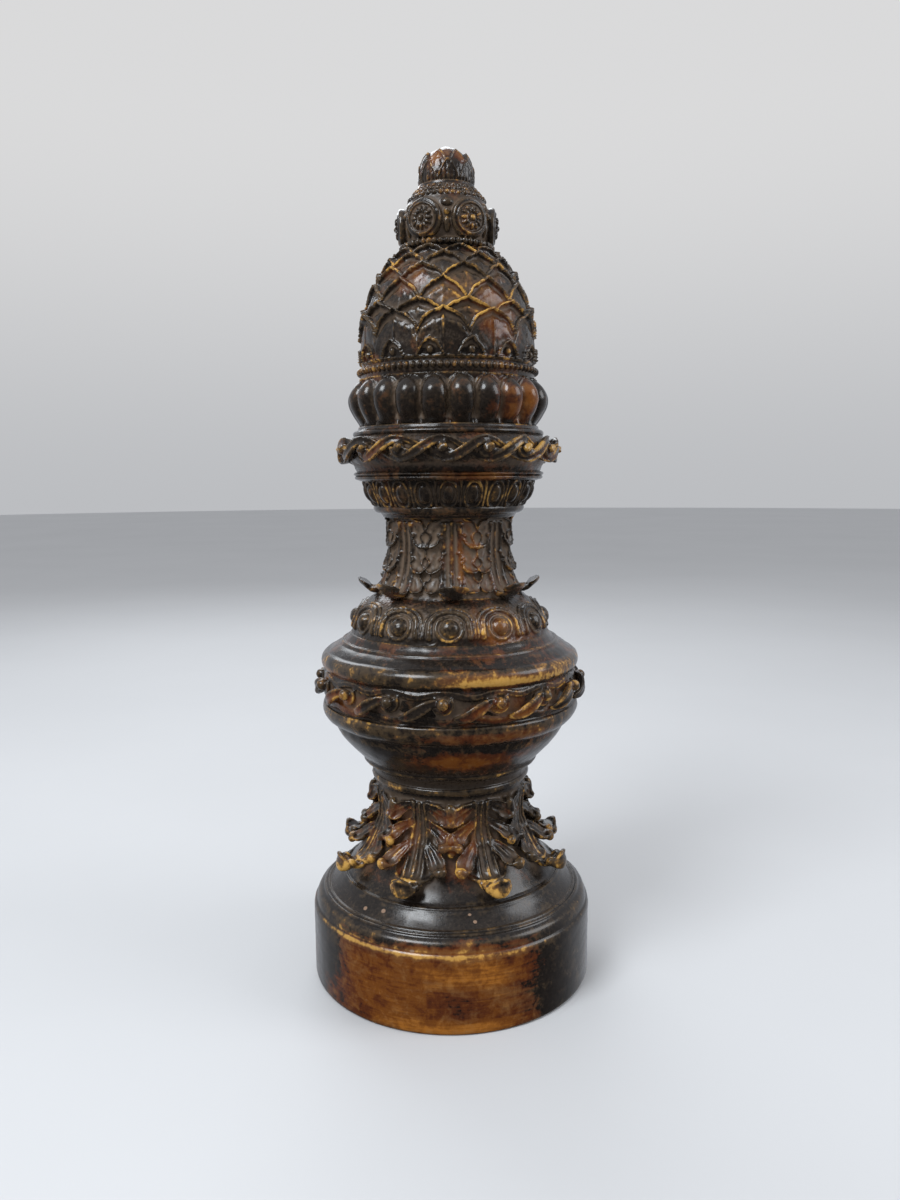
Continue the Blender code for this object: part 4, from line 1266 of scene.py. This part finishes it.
def torus(middle, radius, thick, out, steps=40, sides=10):
    """A small raised ring that lies flat on the ground."""
    around_ring = math.tau * np.arange(steps) / steps
    centre = np.stack([radius * np.cos(around_ring), np.full(steps, out), radius * np.sin(around_ring)], 1)
    outward = np.stack([np.cos(around_ring), np.zeros(steps), np.sin(around_ring)], 1)
    angle = math.tau * np.arange(sides) / sides
    spin = np.stack([np.cos(angle), np.sin(angle)])[..., None]
    rings = centre[:, None] + thick * (outward[:, None] * spin[0] + np.array([0.0, 1.0, 0.0]) * spin[1])
    rings = rings.reshape(-1, 3) + np.array([middle[0], 0.0, middle[1]])
    return rings, grid_faces(steps, sides, endless=True)


disc_profile = [(0.5, -2.0), (7.5, -2.0), (7.4, 1.4), (7.1, 2.3), (6.4, 2.6), (0.5, 2.7)]
disc, disc_faces = turned_solid(disc_profile, 40)
roundel = [
    (disc[:, [0, 2, 1]] + np.array([0.0, 0.0, ROUNDEL_MIDDLE]), disc_faces[:, ::-1]),
    torus((0.0, ROUNDEL_MIDDLE), 6.4, 0.60, 2.3),
    torus((0.0, ROUNDEL_MIDDLE), 5.2, 0.36, 2.9),
    boss((0.0, 3.2, ROUNDEL_MIDDLE), 1.0, 1.0, 1.0),
]
for petal in range(12):
    a = math.tau * petal / 12
    points, faces = boss((2.75, 0.0, 0.0), 1.4, 1.15, 0.58, 8)
    spun = np.stack([
        points[:, 0] * math.cos(a) - points[:, 2] * math.sin(a), points[:, 1] + 2.75,
        points[:, 0] * math.sin(a) + points[:, 2] * math.cos(a) + ROUNDEL_MIDDLE,
    ], 1)
    roundel.append((spun, faces))
stud = [
    boss((0.0, 0.9, ROUNDEL_MIDDLE + 2.2), 1.35, 1.5, 1.35),
    boss((0.0, 0.4, ROUNDEL_MIDDLE - 2.4), 1.5, 1.2, 3.0),
    boss((0.0, 0.2, ROUNDEL_MIDDLE + 6.0), 2.2, 1.1, 1.6),
]
crown_glaze = glazed(
    "glaze on the crown", red=0.7, gold=0.6, dust=0.75,
    patches=(("Gold patch", 0.0, 318.5, 6.0, 3.5, 0.3), ("Gold patch", 30.0, 317.6, 5.0, 1.4, 0.2)),
)
crown_parts = [
    turned_solid(crown_profile, 120),
    ring_of(bend(joined(roundel), crown_profile), ROUNDELS, ROUNDEL_TURN, crown_glaze, 0.5, 43),
    ring_of(bend(joined(stud), crown_profile), ROUNDELS, 0.0, crown_glaze, 0.5, 45),
]
for bump_along, bump_out, bump_sizes, bumps, bump_turn, bump_unevenness, bump_seed in BUMP_ROWS:
    bump = bend(boss((0.0, bump_out, bump_along), *bump_sizes, 8), crown_profile)
    crown_parts.append(ring_of(bump, bumps, bump_turn, crown_glaze, bump_unevenness, bump_seed))
crown = add_piece("crown", fused(crown_parts, CROWN_VOXEL, 2), crown_glaze, 0.06, 55, limit=80000)
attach(crown, "root")
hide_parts("finial")


# Bud: closed and round-topped, with eight pointed petals and a second row tucked between them. It is the
# end of the casting, dusty between the petals.
PETALS = 8
PETAL_TURN = 4.0
BUD_FOOT = 331.4
bud_profile = curve_through([
    (10.0, BUD_FOOT), (10.9, 333.0), (11.3, 335.6), (10.9, 339.4), (9.4, 343.4), (6.8, 346.4), (3.6, 348.2),
    (0.9, 348.9),
], 0.4)


def petal_relief(across, along, pitch):
    """A pointed petal in front, halves of the next row on both sides behind it, and a thin raised rim."""
    u = across / pitch
    front_line = 10.8 - 7.6 * (2.0 * np.abs(u)) ** 1.5
    back_line = 15.4 - 6.4 * (2.0 * (0.5 - np.abs(u))) ** 1.5
    relief = 0.0 * across
    for line, middle in ((back_line, 0.5 - np.abs(u)), (front_line, np.abs(u))):
        depth = line - along
        inside = held(depth / 0.4 + 0.5)
        rim = 0.45 * ridge(depth - 0.5, 0.6) + 0.35 * (1.0 - 2.0 * middle)
        relief = laid_over(relief, 0.55 + rim - 0.03 * np.clip(depth, 0.0, 12.0), inside)
    ends = faded_ends(along, 1.0, 2.5)
    ribs = 0.16 * np.cos(math.tau * 5.0 * u) * held(1.0 - along / 11.0)
    return (0.95 * (relief - 0.55) + ribs) * ends


bud_glaze = glazed(
    "glaze on the bud", red=0.7, amber=-0.02, gold=0.5, dust=0.8,
    patches=(("Patch", -30.0, 343.0, 16.0, 3.0, 1.4), ("Patch", 36.0, 343.0, 14.0, 3.0, 1.4)),
)
bud_ring = carved_ring(bud_profile, PETALS, 32, petal_relief, PETAL_TURN, bud_glaze)
bud = add_piece("bud", bud_ring, bud_glaze, 0.05, 57, 0.08)
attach(bud, "root")
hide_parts("finial")
